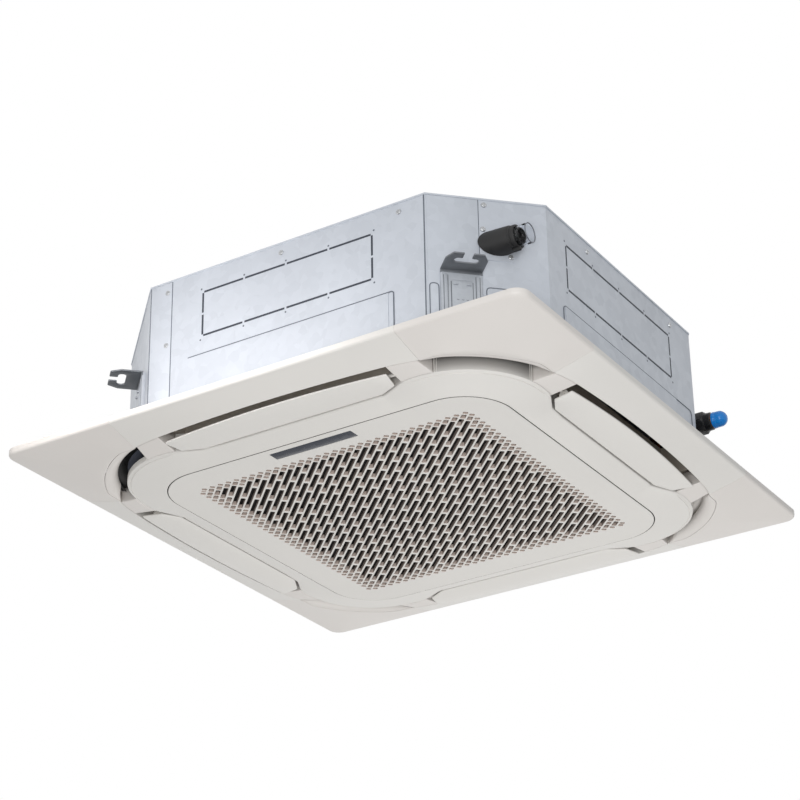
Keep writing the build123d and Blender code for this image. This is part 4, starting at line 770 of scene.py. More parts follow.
def wall_screws():
    shell = Shell()
    for name, places in SCREWS.items():
        for x, z in places:
            cross_screw(shell, on_wall(name, x, z))
    for u, z, off in CUT_SCREWS:
        cross_screw(shell, on_cut("near", u, z, off))
    return shell


def ribbon(shell, path, put, width=1.5, lift=0.22):
    """A thin shade line along a bent or rounded path (x, z) on a wall: each point is moved
    half the width to both sides along the path's normal."""
    path = np.asarray(path, float)
    ahead = np.gradient(path, axis=0)
    ahead /= np.linalg.norm(ahead, axis=1)[:, None]
    side = np.column_stack([-ahead[:, 1], ahead[:, 0]]) * width / 2
    edges = ((-1, 0.0), (-1, lift), (1, lift), (1, 0.0))
    shell.grid(np.stack([upright(put)(at_height(path + side * k, out)) for k, out in edges], 1))


def dot(shell, put, radius=1.7):
    """A small pierced hole: a ring that dips to a flat floor."""
    a = full_turn(14)
    steps = ((radius, 0.02), (radius * 0.9, 0.28), (radius * 0.4, 0.24), (0.05, 0.22))
    rows = [np.stack([r * np.cos(a), out + 0 * a, r * np.sin(a)], -1) for r, out in steps]
    shell.grid(put(np.array(rows)), around=True, flip=True)


def wall_marks():
    """The lines and holes of the sheet walls: painted shade lines along lap seams and pressed panels, and
    pierced dots.
    """
    shell = Shell()
    low, top = CEILING_Z + 1.0, CASE_TOP_Z - 2.0
    for name, (middle, width) in KNOCK.items():
        for k, aside in enumerate((-3.5, 0, 0, 0, 3.5)):
            for z in (KNOCK_LOW - 7.0, KNOCK_HIGH + 6.0):
                dot(shell, on_wall(name, middle - width / 2 + k * width / 4 + aside, z))
    front, right, near = on_wall("front"), on_wall("right"), on_cut("near")
    for x, end, width in ((-188.0, top, 1.3), (-230.6, top, 1.8), (283.6, top + 1, 2.2)):
        ribbon(shell, [(x, low), (x, 0.0), (x, end)], front, width)
    ribbon(shell, bent([(-153, -18.2), (228, -18.2), (228, low)], 5.0), front, 1.5, 1.1)
    ribbon(shell, bent([(-244, -70), (-244, -20), (190, -20), (190, low)], 9.0), right, 0.7, 1.1)
    for name in ("back", "left"):
        ribbon(shell, bent([(-180, low), (-180, -19), (180, -19), (180, low)]), on_wall(name), 1.4)
    ribbon(shell, [(-12.0, low), (-12.0, 60.0), (-12.0, top)], near, 1.4)
    ribbon(shell, bent([(-90, low), (-90, -22), (-76, -22), (-76, low)], 6.5), near, 1.6, 1.1)
    ribbon(shell, bent([(-3, low), (-3, -21), (50, -21), (50, low)], 7.0), near, 1.6)
    return shell


def slit_lines():
    """A line of painted shade over each slit of a knock-out, a little longer and wider than the slit."""
    shell = Shell()
    width, short, middle_z = 3.4, 1.9, (KNOCK_LOW + KNOCK_HIGH) / 2
    for name, (middle, wide) in KNOCK.items():
        edges = middle - wide / 2 + wide / 4 * np.arange(5)
        runs = [((x0 + short, z), (x1 - short, z)) for z in (KNOCK_LOW, KNOCK_HIGH)
                for x0, x1 in zip(edges, edges[1:])]
        runs += [((x, z0 + short), (x, z1 - short)) for x in edges[[0, -1]]
                 for z0, z1 in ((KNOCK_LOW, middle_z), (middle_z, KNOCK_HIGH))]
        for start, stop in runs:
            ribbon(shell, line(start, stop), on_wall(name), width)
    return shell


def wall_pads():
    """Sheet that stands a little proud: the lap strips at the front and at the near corner."""
    shell = Shell()
    for put, x0, x1 in ((on_wall("front"), -229.5, -188.6), (on_cut("near"), -92.0, -12.6)):
        strip = rounded(rect(x0, x1, CEILING_Z + 0.6, CASE_TOP_Z - 3.2), 1.0, 3)
        shell.slab(strip, -0.3, 0.75, ease=0.3, steps=2, put=upright(put))
    return shell


def hanger_shelf(name):
    """The bracket's shelf: bevelled tips and a T slot open at the tip, and its bent edge."""
    shell = Shell()
    half, reach, y0 = HANGER_HALF, 55.0, HANGER_STAND - HANGER_T
    tip, mouth, slot_w, slot_out, slot_in = 23.5, 7.0, 18.5, 41.5, 28.5
    put = on_cut(name, HANGER_AT[name])
    key = both_sides([(half, y0), (half, reach - 17), (tip, reach), (mouth, reach), (mouth, slot_out),
                      (slot_w, slot_out), (slot_w, slot_in)])
    radii = [0, 3, 3, 1.2, 1.5, 6.0, 6.0]
    shell.slab(rounded(key, radii + radii[::-1], 6), 0.02, HANGER_T, ease=0.5, steps=2, put=put)
    lip = rounded(rect(-half, half, y0, HANGER_STAND + 0.6), 0.8, 3)
    shell.slab(lip, -5.0, 0.5, ease=0.6, put=put)
    return shell


def hanger_web(name):
    """The bracket's upright: a channel section carried up the wall, with two ribs, a pressed
    pad and two lanced tabs."""
    shell = Shell()
    half, t, stand, height, along = HANGER_HALF, HANGER_T, HANGER_STAND, 104.0, HANGER_AT[name]
    put = on_cut(name, along)
    section = both_sides([(half, stand), (half, 0.1), (half - t, 0.1), (half - t, stand - t)])
    section = rounded(section, [3.0, 0, 0, 1.0, 1.0, 0, 0, 3.0], 5)
    shell.swept(put(np.stack([at_height(section, z) for z in (-height, 0.3 - height, -4.0, -0.1)])))
    pad = rounded(rect(-16, 16, -82, -17), 4.0, 6)
    shell.slab(pad, stand - 0.4, stand + 1.6, ease=0.9, put=upright(put))
    for x in (-24.5, 24.5):
        rib = rounded(rect(x - 2.4, x + 2.4, -98, -8), 2.2, 5)
        shell.slab(rib, stand - 0.4, stand + 1.2, ease=0.8, put=upright(put))
    for x in (-10.0, 10.0):
        tab = rounded(rect(x - 3.5, x + 3.5, stand, stand + 4.4), 1.0, 4)
        shell.slab(tab, -26.0, -24.4, ease=0.3, steps=2, put=put)
    cross_screw(shell, on_cut(name, along - 24.5, -100.0, stand), 3.2, 1.8)
    return shell


def hanger_lines(name):
    """Shade lines of the upright: the pad's edge, both ribs' edges and small marks."""
    shell = Shell()
    put = on_cut(name, HANGER_AT[name], off=HANGER_STAND)
    lines = [([(x, -19), (x, -50), (x, -82)], 1.2) for x in (-16.6, 16.6)]
    lines += [([(-15, -83.2), (0, -83.2), (15, -83.2)], 2.0)]
    lines += [([(x, -9), (x, -50), (x, -98)], 0.9) for x in (-27.8, -21.2, 21.2, 27.8)]
    for path, width in lines:
        ribbon(shell, path, put, width, 0.3)
    raised = on_cut(name, HANGER_AT[name], off=HANGER_STAND + 1.6)
    for x in (-7.0, 0.5, 7.5):
        ribbon(shell, [(x - 1.8, -50.0), (x, -50.6), (x + 1.8, -50.0)], raised, 0.9, 0.1)
    return shell


def drain_sleeve():
    """A soft cone over the drain pipe. Its root is cut by the plane of the corner cut: a point
    at radius r and angle a starts at x = cut * sqrt(2) + y. From there the radius falls to the
    ring at its end, which has two grooves; a pull tab hangs below."""
    n, cone = 72, 27.0
    plan = ((0.0, 16.2), (0.0, 21.0), (0.8, 21.6), (2.0, 21.5), (6.0, 21.3), (16.0, 20.9), (cone, 20.2))
    rows = []
    for t, r in plan:
        root = CUT_NEAR * sqrt(2) + DRAIN[1] - DRAIN[0] + r * np.sin(full_turn(n))
        rows.append((root * (1 - t / cone) + t, r))
    rows += [(27.6, 19.4), (28.2, 19.0), (31.0, 19.0), (31.4, 18.3), (32.2, 18.3), (32.6, 19.0),
             (36.6, 19.0), (37.6, 18.6), (38.0, 17.8), (38.0, 16.2), (30.0, 16.2)]
    shell = sheet(rings(rows, DRAIN, n), along=True, around=True)
    tab = rounded(rect(27.5, 41.0, -24.0, -17.0), 1.8, 5)
    shell.slab(tab, -2.4, 2.4, ease=0.7, put=upright(lambda p: p + DRAIN))
    return shell


def drain_tube():
    """The clear pipe's end: a tube with rounded lips."""
    rows = [(-12.0, 14.5), (-12.0, 15.8), (41.0, 15.8), (42.0, 16.0), (57.4, 16.0), (57.9, 15.7),
            (58.0, 15.2), (57.8, 14.7), (57.3, 14.5), (20.0, 14.5)]
    return sheet(rings(rows, DRAIN, 72), along=True, around=True)


def drain_lip():
    """The rounded lip round the clear pipe's open end: a small circle carried round a large one."""
    rows = [(57.2 + 0.8 * sin(b), 15.3 + 0.95 * cos(b)) for b in full_turn(12)]
    return sheet(rings(rows, DRAIN, 72), along=True, around=True)


def drain_inner():
    """The dark end of the sleeve's own spigot, seen through the clear pipe: a short tube with
    a rounded end and a shallow hollow in it."""
    rows = [(24.0, 13.9), (41.0, 13.9), (42.2, 13.4), (42.6, 12.4), (42.2, 11.6), (41.0, 11.2),
            (36.0, 10.6), (35.0, 0.4)]
    shell = Shell()
    shell.swept(rings(rows, DRAIN, 48))
    return shell


def valve_nut(across, x, size, z):
    """A dark flare nut: a hexagon with both ends chamfered, then a round waist. The radius is
    the hexagon's own, across / 2 / cos(angle to the nearest flat), but never more than the
    limit given at each x."""
    n = 96
    own = across / 2 / np.cos((full_turn(n) + pi / 6) % (pi / 3) - pi / 6)
    edge, flats, end = across / sqrt(3), x + 0.62 * size, x + size
    rows = [(x, across * 0.30), (x, edge - 2.6), (x + 1.6, edge + 0.2), (flats, edge + 0.2),
            (flats + 2.2, edge - 2.4), (flats + 2.6, across * 0.46), (end - 1.6, across * 0.445),
            (end - 0.5, across * 0.42), (end, across * 0.39), (end, across * 0.28)]
    shell = Shell()
    shell.swept(rings([(at, np.minimum(own, limit)) for at, limit in rows], (0, PIPE_Y, z), n), flip=True)
    return shell


def collar_and_thread(across, x, size, z):
    """The brass collar between the nut and the cap: its radius dips twice between rings."""
    t = np.linspace(0, 1, 13)
    radius = 0.38 * across - 0.45 * np.sin(2.5 * pi * t) ** 2
    profile = np.vstack([(0.5, x + 0.05), np.column_stack([radius, x + 0.05 + t * (size - 0.1)]),
                         (0.5, x + size - 0.05)])
    return sheet(turned(profile, (0, PIPE_Y, z), 48), around=True, flip=True)


def cap_dome(radius, x0, length, z):
    """A soft cap: straight, then rounded off on an ellipse, with grip ribs all round: the
    radius is scaled by 1 - 0.012 * (1 + cos(18 a))."""
    dome, barrel = 0.92 * radius, 0.965 * radius
    start = x0 + length - dome
    profile = [(radius * 0.4, x0), (radius * 0.97, x0), (radius, x0 + 0.9), (radius, x0 + 3.2),
               (barrel, x0 + 4.0), (barrel, start)]
    profile += [(barrel * cos(v), start + dome * sin(v)) for v in np.linspace(0, pi / 2, 9)[1:-1]]
    profile += [(0.6, x0 + length)]
    shell = Shell()
    shell.swept(turned(profile, (0, PIPE_Y, z), 108, lambda a: 1 - 0.012 * (1 + np.cos(18 * a))), flip=True)
    return shell


# ---- finishes -----------------------------------------------------------------------------
def feed(target, value):
    """Links another node's output to a socket, or gives the socket a constant."""
    if isinstance(value, bpy.types.NodeSocket):
        target.id_data.links.new(value, target)
    else:
        target.default_value = value


def node(tree, kind, inputs=None, **settings):
    """A node with its settings, and its inputs by name or number."""
    made = tree.nodes.new("ShaderNode" + kind)
    for key, value in settings.items():
        setattr(made, key, value)
    for key, value in (inputs or {}).items():
        feed(made.inputs[key], value)
    return made


def maths(tree, operation, *values, clamp=False):
    return node(tree, "Math", dict(enumerate(values)), operation=operation, use_clamp=clamp).outputs[0]


def remap(tree, value, *limits):
    """Carries a value from between the first two limits to between the last two."""
    labels = ("From Min", "From Max", "To Min", "To Max")
    return node(tree, "MapRange", {"Value": value, **dict(zip(labels, limits))}).outputs["Result"]


def noise(tree, vector, scale, detail, rough):
    inputs = {"Vector": vector, "Scale": scale, "Detail": detail, "Roughness": rough}
    return node(tree, "TexNoise", inputs).outputs["Fac"]


def coordinates(tree):
    return node(tree, "TexCoord").outputs["Object"]


def moulded_skin(tree, where, given):
    """Fine satin grain of a moulding and slow changes of shade across it."""
    speck = remap(tree, noise(tree, where, 420.0, 2.0, 0.7), 0.68, 0.8, 0.0, 1.0)
    return {"Grain": noise(tree, where, given["Grain Scale"], 2.0, 0.6),
            "Drift": noise(tree, where, given["Drift Scale"], 3.0, 0.5), "Speck": speck}


def zinc_sheet(tree, where, given):
    """Zinc bloom on sheet: crystal patches of slightly different shade, rolling lines and
    soft smears."""
    wave = node(tree, "TexNoise", {"Vector": where, "Scale": 60.0}).outputs["Color"]
    shift = node(tree, "VectorMath", {0: wave, "Scale": 0.012}, operation="SCALE").outputs[0]
    warped = node(tree, "VectorMath", {0: where, 1: shift}, operation="ADD").outputs[0]
    cells = node(tree, "TexVoronoi", {"Vector": warped, "Scale": given["Patch Scale"]}).outputs["Color"]
    stretched = node(tree, "Mapping", {"Vector": where, "Scale": (0.02, 0.02, 1.0)}).outputs[0]
    return {"Patch": node(tree, "SeparateColor", {0: cells}).outputs[0],
            "Lines": noise(tree, stretched, given["Line Scale"], 2.0, 0.6),
            "Smear": noise(tree, where, 4.5, 4.0, 0.55)}


def fine_surface(tree, where, given):
    """Small-scale unevenness of a glossy or rubber piece, with faint dust."""
    return {"Height": noise(tree, where, given["Scale"], 3.0, 0.6),
            "Dust": remap(tree, noise(tree, where, 55.0, 4.0, 0.65), 0.45, 0.75, 0.0, 1.0)}


def woven_net(tree, where, given):
    """Two sets of crossing threads: each is the cosine of a coordinate, and a thread shows
    where either is high."""
    split = node(tree, "SeparateXYZ", {0: where})
    waves = [maths(tree, "COSINE", maths(tree, "MULTIPLY", split.outputs[axis], given["Threads"]))
             for axis in ("X", "Y")]
    return {"Thread": remap(tree, maths(tree, "MAXIMUM", *waves), 0.2, 0.8, 0.0, 1.0),
            "Shade": noise(tree, where, 30.0, 2.0, 0.5)}


# each node group: what fills it and its inputs
GROUPS = {
    "Moulded skin": (moulded_skin, {"Grain Scale": 2600.0, "Drift Scale": 5.0}),
    "Zinc sheet": (zinc_sheet, {"Patch Scale": 70.0, "Line Scale": 900.0}),
    "Fine surface": (fine_surface, {"Scale": 900.0}),
    "Woven net": (woven_net, {"Threads": 2400.0}),
}
SHARED = {}
FINISHES = {}


def shared(name):
    """A node group, made once."""
    if name not in SHARED:
        maker, inputs = GROUPS[name]
        tree = SHARED[name] = bpy.data.node_groups.new(name, "ShaderNodeTree")
        for label, value in inputs.items():
            given = tree.interface.new_socket(name=label, in_out="INPUT", socket_type="NodeSocketFloat")
            given.default_value = value
        made = maker(tree, coordinates(tree), tree.nodes.new("NodeGroupInput").outputs)
        for label in made:
            tree.interface.new_socket(name=label, in_out="OUTPUT", socket_type="NodeSocketFloat")
        out = tree.nodes.new("NodeGroupOutput")
        for label, value in made.items():
            feed(out.inputs[label], value)
    return SHARED[name]


def use_group(tree, name, **values):
    """The outputs of a node group in a material, with its inputs set."""
    made = node(tree, "Group", node_tree=shared(name))
    for label, value in values.items():
        made.inputs[label.replace("_", " ")].default_value = value
    return made.outputs


def start_finish(name, rough, metal=0.0, **constants):
    """An empty material with its shader; constants go straight onto the shader's sockets."""
    mat = bpy.data.materials.new(name)
    mat.use_nodes = True
    tree = mat.node_tree
    tree.nodes.clear()
    shader = node(tree, "BsdfPrincipled", {"Roughness": rough, "Metallic": metal})
    for label, value in constants.items():
        shader.inputs[label.replace("_", " ")].default_value = value
    node(tree, "OutputMaterial", {"Surface": shader.outputs[0]})
    return mat, tree, shader


def blend_colour(tree, mask, first, second):
    """Mixes two colours, each a colour value or another node's output, by a mask."""
    mix = node(tree, "Mix", data_type="RGBA")
    feed(mix.inputs["Factor"], mask)
    for target, value in zip([s for s in mix.inputs if s.type == "RGBA"], (first, second)):
        feed(target, value)
    return [s for s in mix.outputs if s.type == "RGBA"][0]


def surface(tree, shader, tone, height, strength, distance, rough=None):
    """Feeds a shader its colour, its bumps and, where it varies, its roughness."""
    feed(shader.inputs["Base Color"], tone)
    if rough is not None:
        feed(shader.inputs["Roughness"], rough)
    bump = node(tree, "Bump", {"Strength": strength, "Distance": distance, "Height": height})
    feed(shader.inputs["Normal"], bump.outputs[0])


def moulding(name, first, second, rough=0.42):
    mat, tree, shader = start_finish(name, rough, Specular_IOR_Level=0.42)
    skin = use_group(tree, "Moulded skin")
    tone = blend_colour(tree, remap(tree, skin["Drift"], 0.3, 0.7, 0.0, 1.0), first, second)
    tone = blend_colour(tree, maths(tree, "MULTIPLY", skin["Speck"], 0.06), tone, rgb(150, 146, 138))
    surface(tree, shader, tone, skin["Grain"], 0.12, 0.0002,
            remap(tree, skin["Grain"], 0.3, 0.7, rough - 0.05, rough + 0.07))
    return mat


def painted_depth_shade(name, deep, near):
    """The near outlet's wall, with painted shade: its colour darkens towards its depth."""
    mat, tree, shader = start_finish(name, 0.5, Specular_IOR_Level=0.3)
    skin = use_group(tree, "Moulded skin")
    height = node(tree, "SeparateXYZ", {0: coordinates(tree)}).outputs["Z"]
    depth = maths(tree, "ADD", height, maths(tree, "MULTIPLY", skin["Drift"], 0.002))
    # painted shade: dark at the top of the wall, pale near its lower edge
    tone = blend_colour(tree, remap(tree, depth, -0.119, -0.144, 0.0, 1.0), deep, near)
    surface(tree, shader, tone, skin["Grain"], 0.12, 0.0002)
    return mat


def sheet_metal(name, first, second, rough, metal, patch=70.0):
    mat, tree, shader = start_finish(name, rough, metal)
    zinc = use_group(tree, "Zinc sheet", Patch_Scale=patch)
    tone = blend_colour(tree, remap(tree, zinc["Smear"], 0.3, 0.7, 0.0, 1.0), first, second)
    tone = blend_colour(tree, remap(tree, zinc["Patch"], 0.0, 1.0, 0.0, 0.10), tone, rgb(120, 126, 135))
    grain = maths(tree, "ADD", maths(tree, "MULTIPLY", zinc["Patch"], 0.08),
                  maths(tree, "MULTIPLY", zinc["Lines"], 0.10))
    surface(tree, shader, tone, zinc["Lines"], 0.05, 0.0003,
            remap(tree, grain, 0.0, 0.18, rough - 0.06, rough + 0.08))
    return mat


def plain_gloss(name, first, second, rough, scale=900.0, strength=0.08, metal=0.0):
    mat, tree, shader = start_finish(name, rough, metal)
    fine = use_group(tree, "Fine surface", Scale=scale)
    tone = blend_colour(tree, maths(tree, "MULTIPLY", fine["Dust"], 0.35), first, second)
    surface(tree, shader, tone, fine["Height"], strength, 0.0003,
            remap(tree, fine["Dust"], 0.0, 1.0, rough, min(rough + 0.16, 1.0)))
    return mat


def clear_plastic(name, first, second):
    mat, tree, shader = start_finish(name, 0.04, IOR=1.09, Transmission_Weight=1.0)
    fine = use_group(tree, "Fine surface", Scale=500.0)
    tone = blend_colour(tree, maths(tree, "MULTIPLY", fine["Dust"], 0.5), first, second)
    surface(tree, shader, tone, fine["Height"], 0.05, 0.0003,
            remap(tree, fine["Dust"], 0.0, 1.0, 0.02, 0.08))
    return mat


def net_finish(name, first, second):
    mat, tree, shader = start_finish(name, 0.8)
    net = use_group(tree, "Woven net")
    tone = blend_colour(tree, net["Thread"], first, second)
    tone = blend_colour(tree, remap(tree, net["Shade"], 0.4, 0.7, 0.0, 0.3), tone, rgb(30, 28, 28))
    surface(tree, shader, tone, net["Thread"], 0.4, 0.0004)
    return mat


# each finish: its maker, two colours in display values, and what else the maker takes, which is
# roughness, metal and patch scale for a sheet, and roughness, scale, bump and metal for a gloss
LOOKS = {
    "bracket_pale": (sheet_metal, (196, 200, 206), (176, 181, 188), 0.4, 0.3, 160.0),
    "bracket_steel": (sheet_metal, (128, 131, 135), (104, 108, 113), 0.42, 0.55, 160.0),
    "aluminium": (sheet_metal, (196, 198, 200), (176, 178, 181), 0.4, 0.8, 220.0),
    # painted shade inside the grille's slots: light beige at the ends, darker brown along the long sides
    "slot_shade": (moulding, (224, 209, 199), (214, 199, 190), 0.5),
    "slot_side": (moulding, (160, 147, 139), (150, 138, 131), 0.5),
    # painted shade in the seam gap between the grille and the centre frame
    "seam_wall": (moulding, (126, 124, 119), (116, 114, 110), 0.6),
    # painted shade on the near outlet's wall, dark deep inside and pale near the edge
    "passage_grey": (painted_depth_shade, (118, 116, 114), (208, 205, 201)),
    "clear_pipe": (clear_plastic, (246, 247, 249), (226, 230, 234)),
    "filter_mesh": (net_finish, (14, 13, 13), (58, 55, 54)),
    "seam_shade": (plain_gloss, (98, 104, 114), (126, 131, 140), 0.5, 900.0, 0.1),
    "slit_dark": (plain_gloss, (52, 56, 66), (70, 74, 84), 0.6, 900.0, 0.1),
    "lip_grey": (plain_gloss, (104, 107, 116), (126, 129, 137), 0.25, 900.0, 0.05),
    "pan_foam": (plain_gloss, (214, 205, 193), (196, 187, 176), 0.85, 260.0, 0.5),
    # painted shade: the slate roof band over a corner outlet's slot
    "slate_foam": (plain_gloss, (82, 86, 98), (96, 99, 108), 0.85, 260.0, 0.4),
    "foam": (plain_gloss, (118, 111, 104), (132, 125, 118), 0.85, 260.0, 0.5),
    "dark_foam": (plain_gloss, (46, 47, 50), (60, 60, 62), 0.9, 300.0, 0.5),
    "screw_steel": (plain_gloss, (190, 192, 194), (150, 150, 150), 0.28, 1500.0, 0.05, 0.9),
    "copper": (plain_gloss, (206, 140, 96), (160, 100, 70), 0.3, 1100.0, 0.08, 0.95),
    "brass": (plain_gloss, (186, 158, 104), (140, 116, 80), 0.32, 1100.0, 0.08, 0.9),
    "black_nut": (plain_gloss, (22, 22, 23), (60, 60, 62), 0.3, 1200.0, 0.12, 0.35),
    # real black rubber of the drain sleeve, and also painted shade on the corner outlets' deep bands
    "black_rubber": (plain_gloss, (20, 20, 21), (52, 51, 50), 0.55, 700.0, 0.2),
    "blue_cap": (plain_gloss, (0, 132, 222), (30, 160, 235), 0.22, 600.0, 0.08),
    "fan_plastic": (plain_gloss, (176, 178, 179), (150, 152, 154), 0.5, 1300.0, 0.12),
    "grey_plastic": (plain_gloss, (70, 72, 75), (98, 99, 101), 0.5, 1300.0, 0.12),
    "board": (plain_gloss, (34, 84, 52), (24, 60, 38), 0.42, 1700.0, 0.2),
    "display_dark": (plain_gloss, (58, 61, 70), (72, 75, 84), 0.2, 400.0, 0.02),
}
OWN_FINISH = {"insulation_liner": "dark_foam", "drain_pan": "pan_foam"}


def toned(colour_value, share):
    return tuple(min(v * share, 1.0) for v in colour_value[:3]) + (1.0,)


def finish(name):
    """A finish, made once, from the settings' colours or from the table."""
    if name not in FINISHES:
        look = bpy.context.scene.cassette_looks
        panel, cover, zinc = map(tuple, (look.panel_colour, look.cover_colour, look.sheet_colour))
        own = {
            "panel_white": (moulding, panel, toned(panel, 0.97)),
            "flap_white": (moulding, toned(panel, 1.02), panel, 0.38),
            "cover_white": (moulding, cover, toned(cover, 0.97)),
            "galvanised": (sheet_metal, zinc, toned(zinc, 0.9), 0.42, 0.22),
        }
        if name in own:
            maker, first, second, *rest = own[name]
        else:
            maker, first, second, *rest = LOOKS[name]
            first, second = rgb(*first), rgb(*second)
        FINISHES[name] = maker(name, first, second, *rest)
    return FINISHES[name]


# ---- settings -----------------------------------------------------------------------------
def length(name, description, default):
    return bpy.props.FloatProperty(name=name, description=description, default=default, min=0.0,
                                   subtype="DISTANCE", unit="LENGTH", precision=4)


def colour(name, description, default):
    return bpy.props.FloatVectorProperty(name=name, description=description, default=default, size=4,
                                         min=0.0, max=1.0, subtype="COLOR")


def angle(name, description, degrees):
    return bpy.props.FloatProperty(name=name, description=description, default=radians(degrees),
                                   subtype="ANGLE", unit="ROTATION")


def power(name, description, default):
    return bpy.props.FloatProperty(name=name, description=description, default=default, min=0.0,
                                   unit="POWER")


class CassettePanelSizes(bpy.types.PropertyGroup):
    """Sizes of the decor panel."""
    side: length("Side", "Length of the square panel's side", 0.95)
    corner_radius: length("Corner radius", "Radius of the panel's outer corners", 0.018)
    throat_mid: length("Throat at the middle", "Middle of the unit to the rim's inner edge", 0.426)
    throat_diagonal: length("Throat on the diagonal", "The same along a diagonal", 0.498)
    throat_bow: length("Throat bow", "Radius of the rim's bowed inner edge", 2.4)
    cover_seam: length("Cover seam", "Middle of a side to a corner cover's seam", 0.262)


class CassetteGrilleSizes(bpy.types.PropertyGroup):
    """Sizes of the intake grille's slots."""
    row_pitch: length("Row pitch", "From one row of slots to the next", 0.01115)
    slot_width: length("Slot width", "Width of each slot", 0.0074)


class CassetteLooks(bpy.types.PropertyGroup):
    """Colours of the outer pieces."""
    panel_colour: colour("Panel", "Colour of the decor panel and the grille", rgb(232, 229, 224))
    cover_colour: colour("Corner covers", "Colour of the corner covers and outlets", rgb(230, 225, 220))
    sheet_colour: colour("Sheet metal", "Colour of the casing's zinc-coated sheet", rgb(206, 211, 219))


class CassetteStage(bpy.types.PropertyGroup):
    """The camera and the lamps."""
    heading: angle("Heading", "Camera's direction round the unit", 31.97)
    height: angle("Height angle", "Camera's angle above the unit", -26.895)
    roll: angle("Roll", "Camera's turn about its own axis", -1.006)
    distance: length("Distance", "Camera to the point it looks at", 3.56264)
    lens: bpy.props.FloatProperty(name="Lens", description="Focal length in millimetres",
                                  default=105.34, min=1.0)
    key_power: power("Key lamp", "Power of the main lamp", 28.5)
    wall_power: power("Wall lamp", "Power of the lamp on the front wall", 0.9)
    corner_power: power("Corner lamp", "Power of the lamp on the near corner", 2.4)
    fill_power: power("Fill lamp", "Power of the lamp beside the camera", 20.0)
    sky: bpy.props.FloatProperty(name="Ambient", description="Strength of the even light",
                                 default=0.42, min=0.0)


# ---- operators ----------------------------------------------------------------------------
class CASSETTE_OT_rim(bpy.types.Operator):
    """Makes the rim's four sides and its four corner covers."""
    bl_idname = "cassette.rim"
    bl_label = "Rim and corner covers"

    def execute(self, context):
        sizes = context.scene.cassette_panel
        for name, turn in SIDES.items():
            stands_for = ("panel_rim",) if name == "front" else ()
            place("rim_" + name, rim_side(sizes), "unit", "panel_white", stands_for, turn, bevel=0.35)
        for i, name in enumerate(CORNERS):
            place("cover_" + name, corner_cover(sizes), "unit", "panel_white", ("corner_cover_" + name,),
                  90.0 * i, ("cover_white",), bevel=0.35)
        return {"FINISHED"}


class CASSETTE_OT_centre(bpy.types.Operator):
    """Makes the frame between the grille and the flaps, and the corner outlets."""
    bl_idname = "cassette.centre"
    bl_label = "Centre frame and corner outlets"

    def execute(self, context):
        sizes = context.scene.cassette_panel
        centre = place("centre_frame", centre_frame(), "unit", "panel_white", ("panel_island",),
                       looks=("panel_white", "passage_grey", "seam_wall"))
        middle, normal = face_data(centre.data)
        # painted shade: the near outlet's upright wall faces take the finish that darkens with depth
        passage = (middle[:, 2] > -147.2) & (np.abs(normal[:, 2]) < 0.5)
        passage &= (middle[:, 0] > 262) & (middle[:, 1] < -262)
        # painted shade: the centre frame's wall in the seam gap
        seam = (np.abs(seam_reach(middle[:, :2]) - SEAM_R) < 0.3) & (middle[:, 2] > -157.0)
        centre.data.polygons.foreach_set("material_index", (passage + 2 * seam).astype(np.int32))
        # bands over the open slot, dark sheets of painted shade: the wall behind the bowl and the roof
        # above the centre frame
        roof = SEAL_Z - 2.3
        bowl_share = 1 - (BOWL_WIDE - BOWL_BACK) / 28.0
        deep = [(0.02, roof + 0.3), (1.06, roof + 0.3), (bowl_share + 0.02, BOWL_TOP_Z + 0.4)]
        over = [(-0.95, roof), (0.06, roof)]
        for i, name in enumerate(CORNERS):
            # the right corner's bands take the pale cover colour, the other corners' bands dark painted
            # shade
            pale_bands = name == "right"
            for tag, shell, slot, look, stands_for, thick in (
                    ("outlet_", outlet_floor(sizes), "panel_white", "cover_white",
                     ("corner_outlet_" + name,), 1.6),
                    ("outlet_wall_", outlet_bowl(sizes), "panel_white", "cover_white", (), 1.0),
                    ("outlet_deep_", outlet_band(sizes, deep), "black_rubber",
                     "cover_white" if pale_bands else "black_rubber", (), 0.6),
                    ("outlet_roof_", outlet_band(sizes, over), "foam",
                     "cover_white" if pale_bands else "slate_foam", (), 0.8),
                    ("outlet_ribs_", outlet_ribs(), "panel_white", "panel_white", (), 0.0)):
                place(tag + name, shell, "unit", slot, stands_for, 90.0 * i, (look,), thick=thick)
        return {"FINISHED"}


class CASSETTE_OT_flaps(bpy.types.Operator):
    """Makes the four flaps with their arms and pins."""
    bl_idname = "cassette.flaps"
    bl_label = "Flaps"

    def execute(self, context):
        for name, turn in SIDES.items():
            place("leaf_" + name, flap_leaf(), "flap_" + name, "flap_white", ("flap_" + name,), turn)
        return {"FINISHED"}


class CASSETTE_OT_grille(bpy.types.Operator):
    """Makes the intake grille and its display window."""
    bl_idname = "cassette.grille"
    bl_label = "Intake grille"

    def execute(self, context):
        shell, first_wall = grille_door(context.scene.cassette_grille)
        door = place("grille_door", shell, "grille", "panel_white", ("intake_grille",), weld=False,
                     looks=("panel_white", "slot_shade", "slot_side", "seam_wall"))
        # a slot's wall has 12 faces to a ring, of which 5 and 11 are its long sides; the walls carry
        # painted shade, a darker one on the long sides than at the ends
        kind = np.zeros(len(door.data.polygons), np.int32)
        kind[first_wall:] = 1 + np.isin(np.arange(len(kind) - first_wall) % 12, (5, 11))
        middle, normal = face_data(door.data)
        # painted shade: the door's side ring in the seam gap
        kind[(seam_reach(middle[:, :2]) > 84.7) & (np.abs(normal[:, 2]) < 0.4)] = 3
        door.data.polygons.foreach_set("material_index", kind)
        place("grille_back", grille_back(), "grille", "panel_white", bevel=0.25)
        place("display_lens", display_lens(), "grille", "display_dark", ("display_window",))
        return {"FINISHED"}


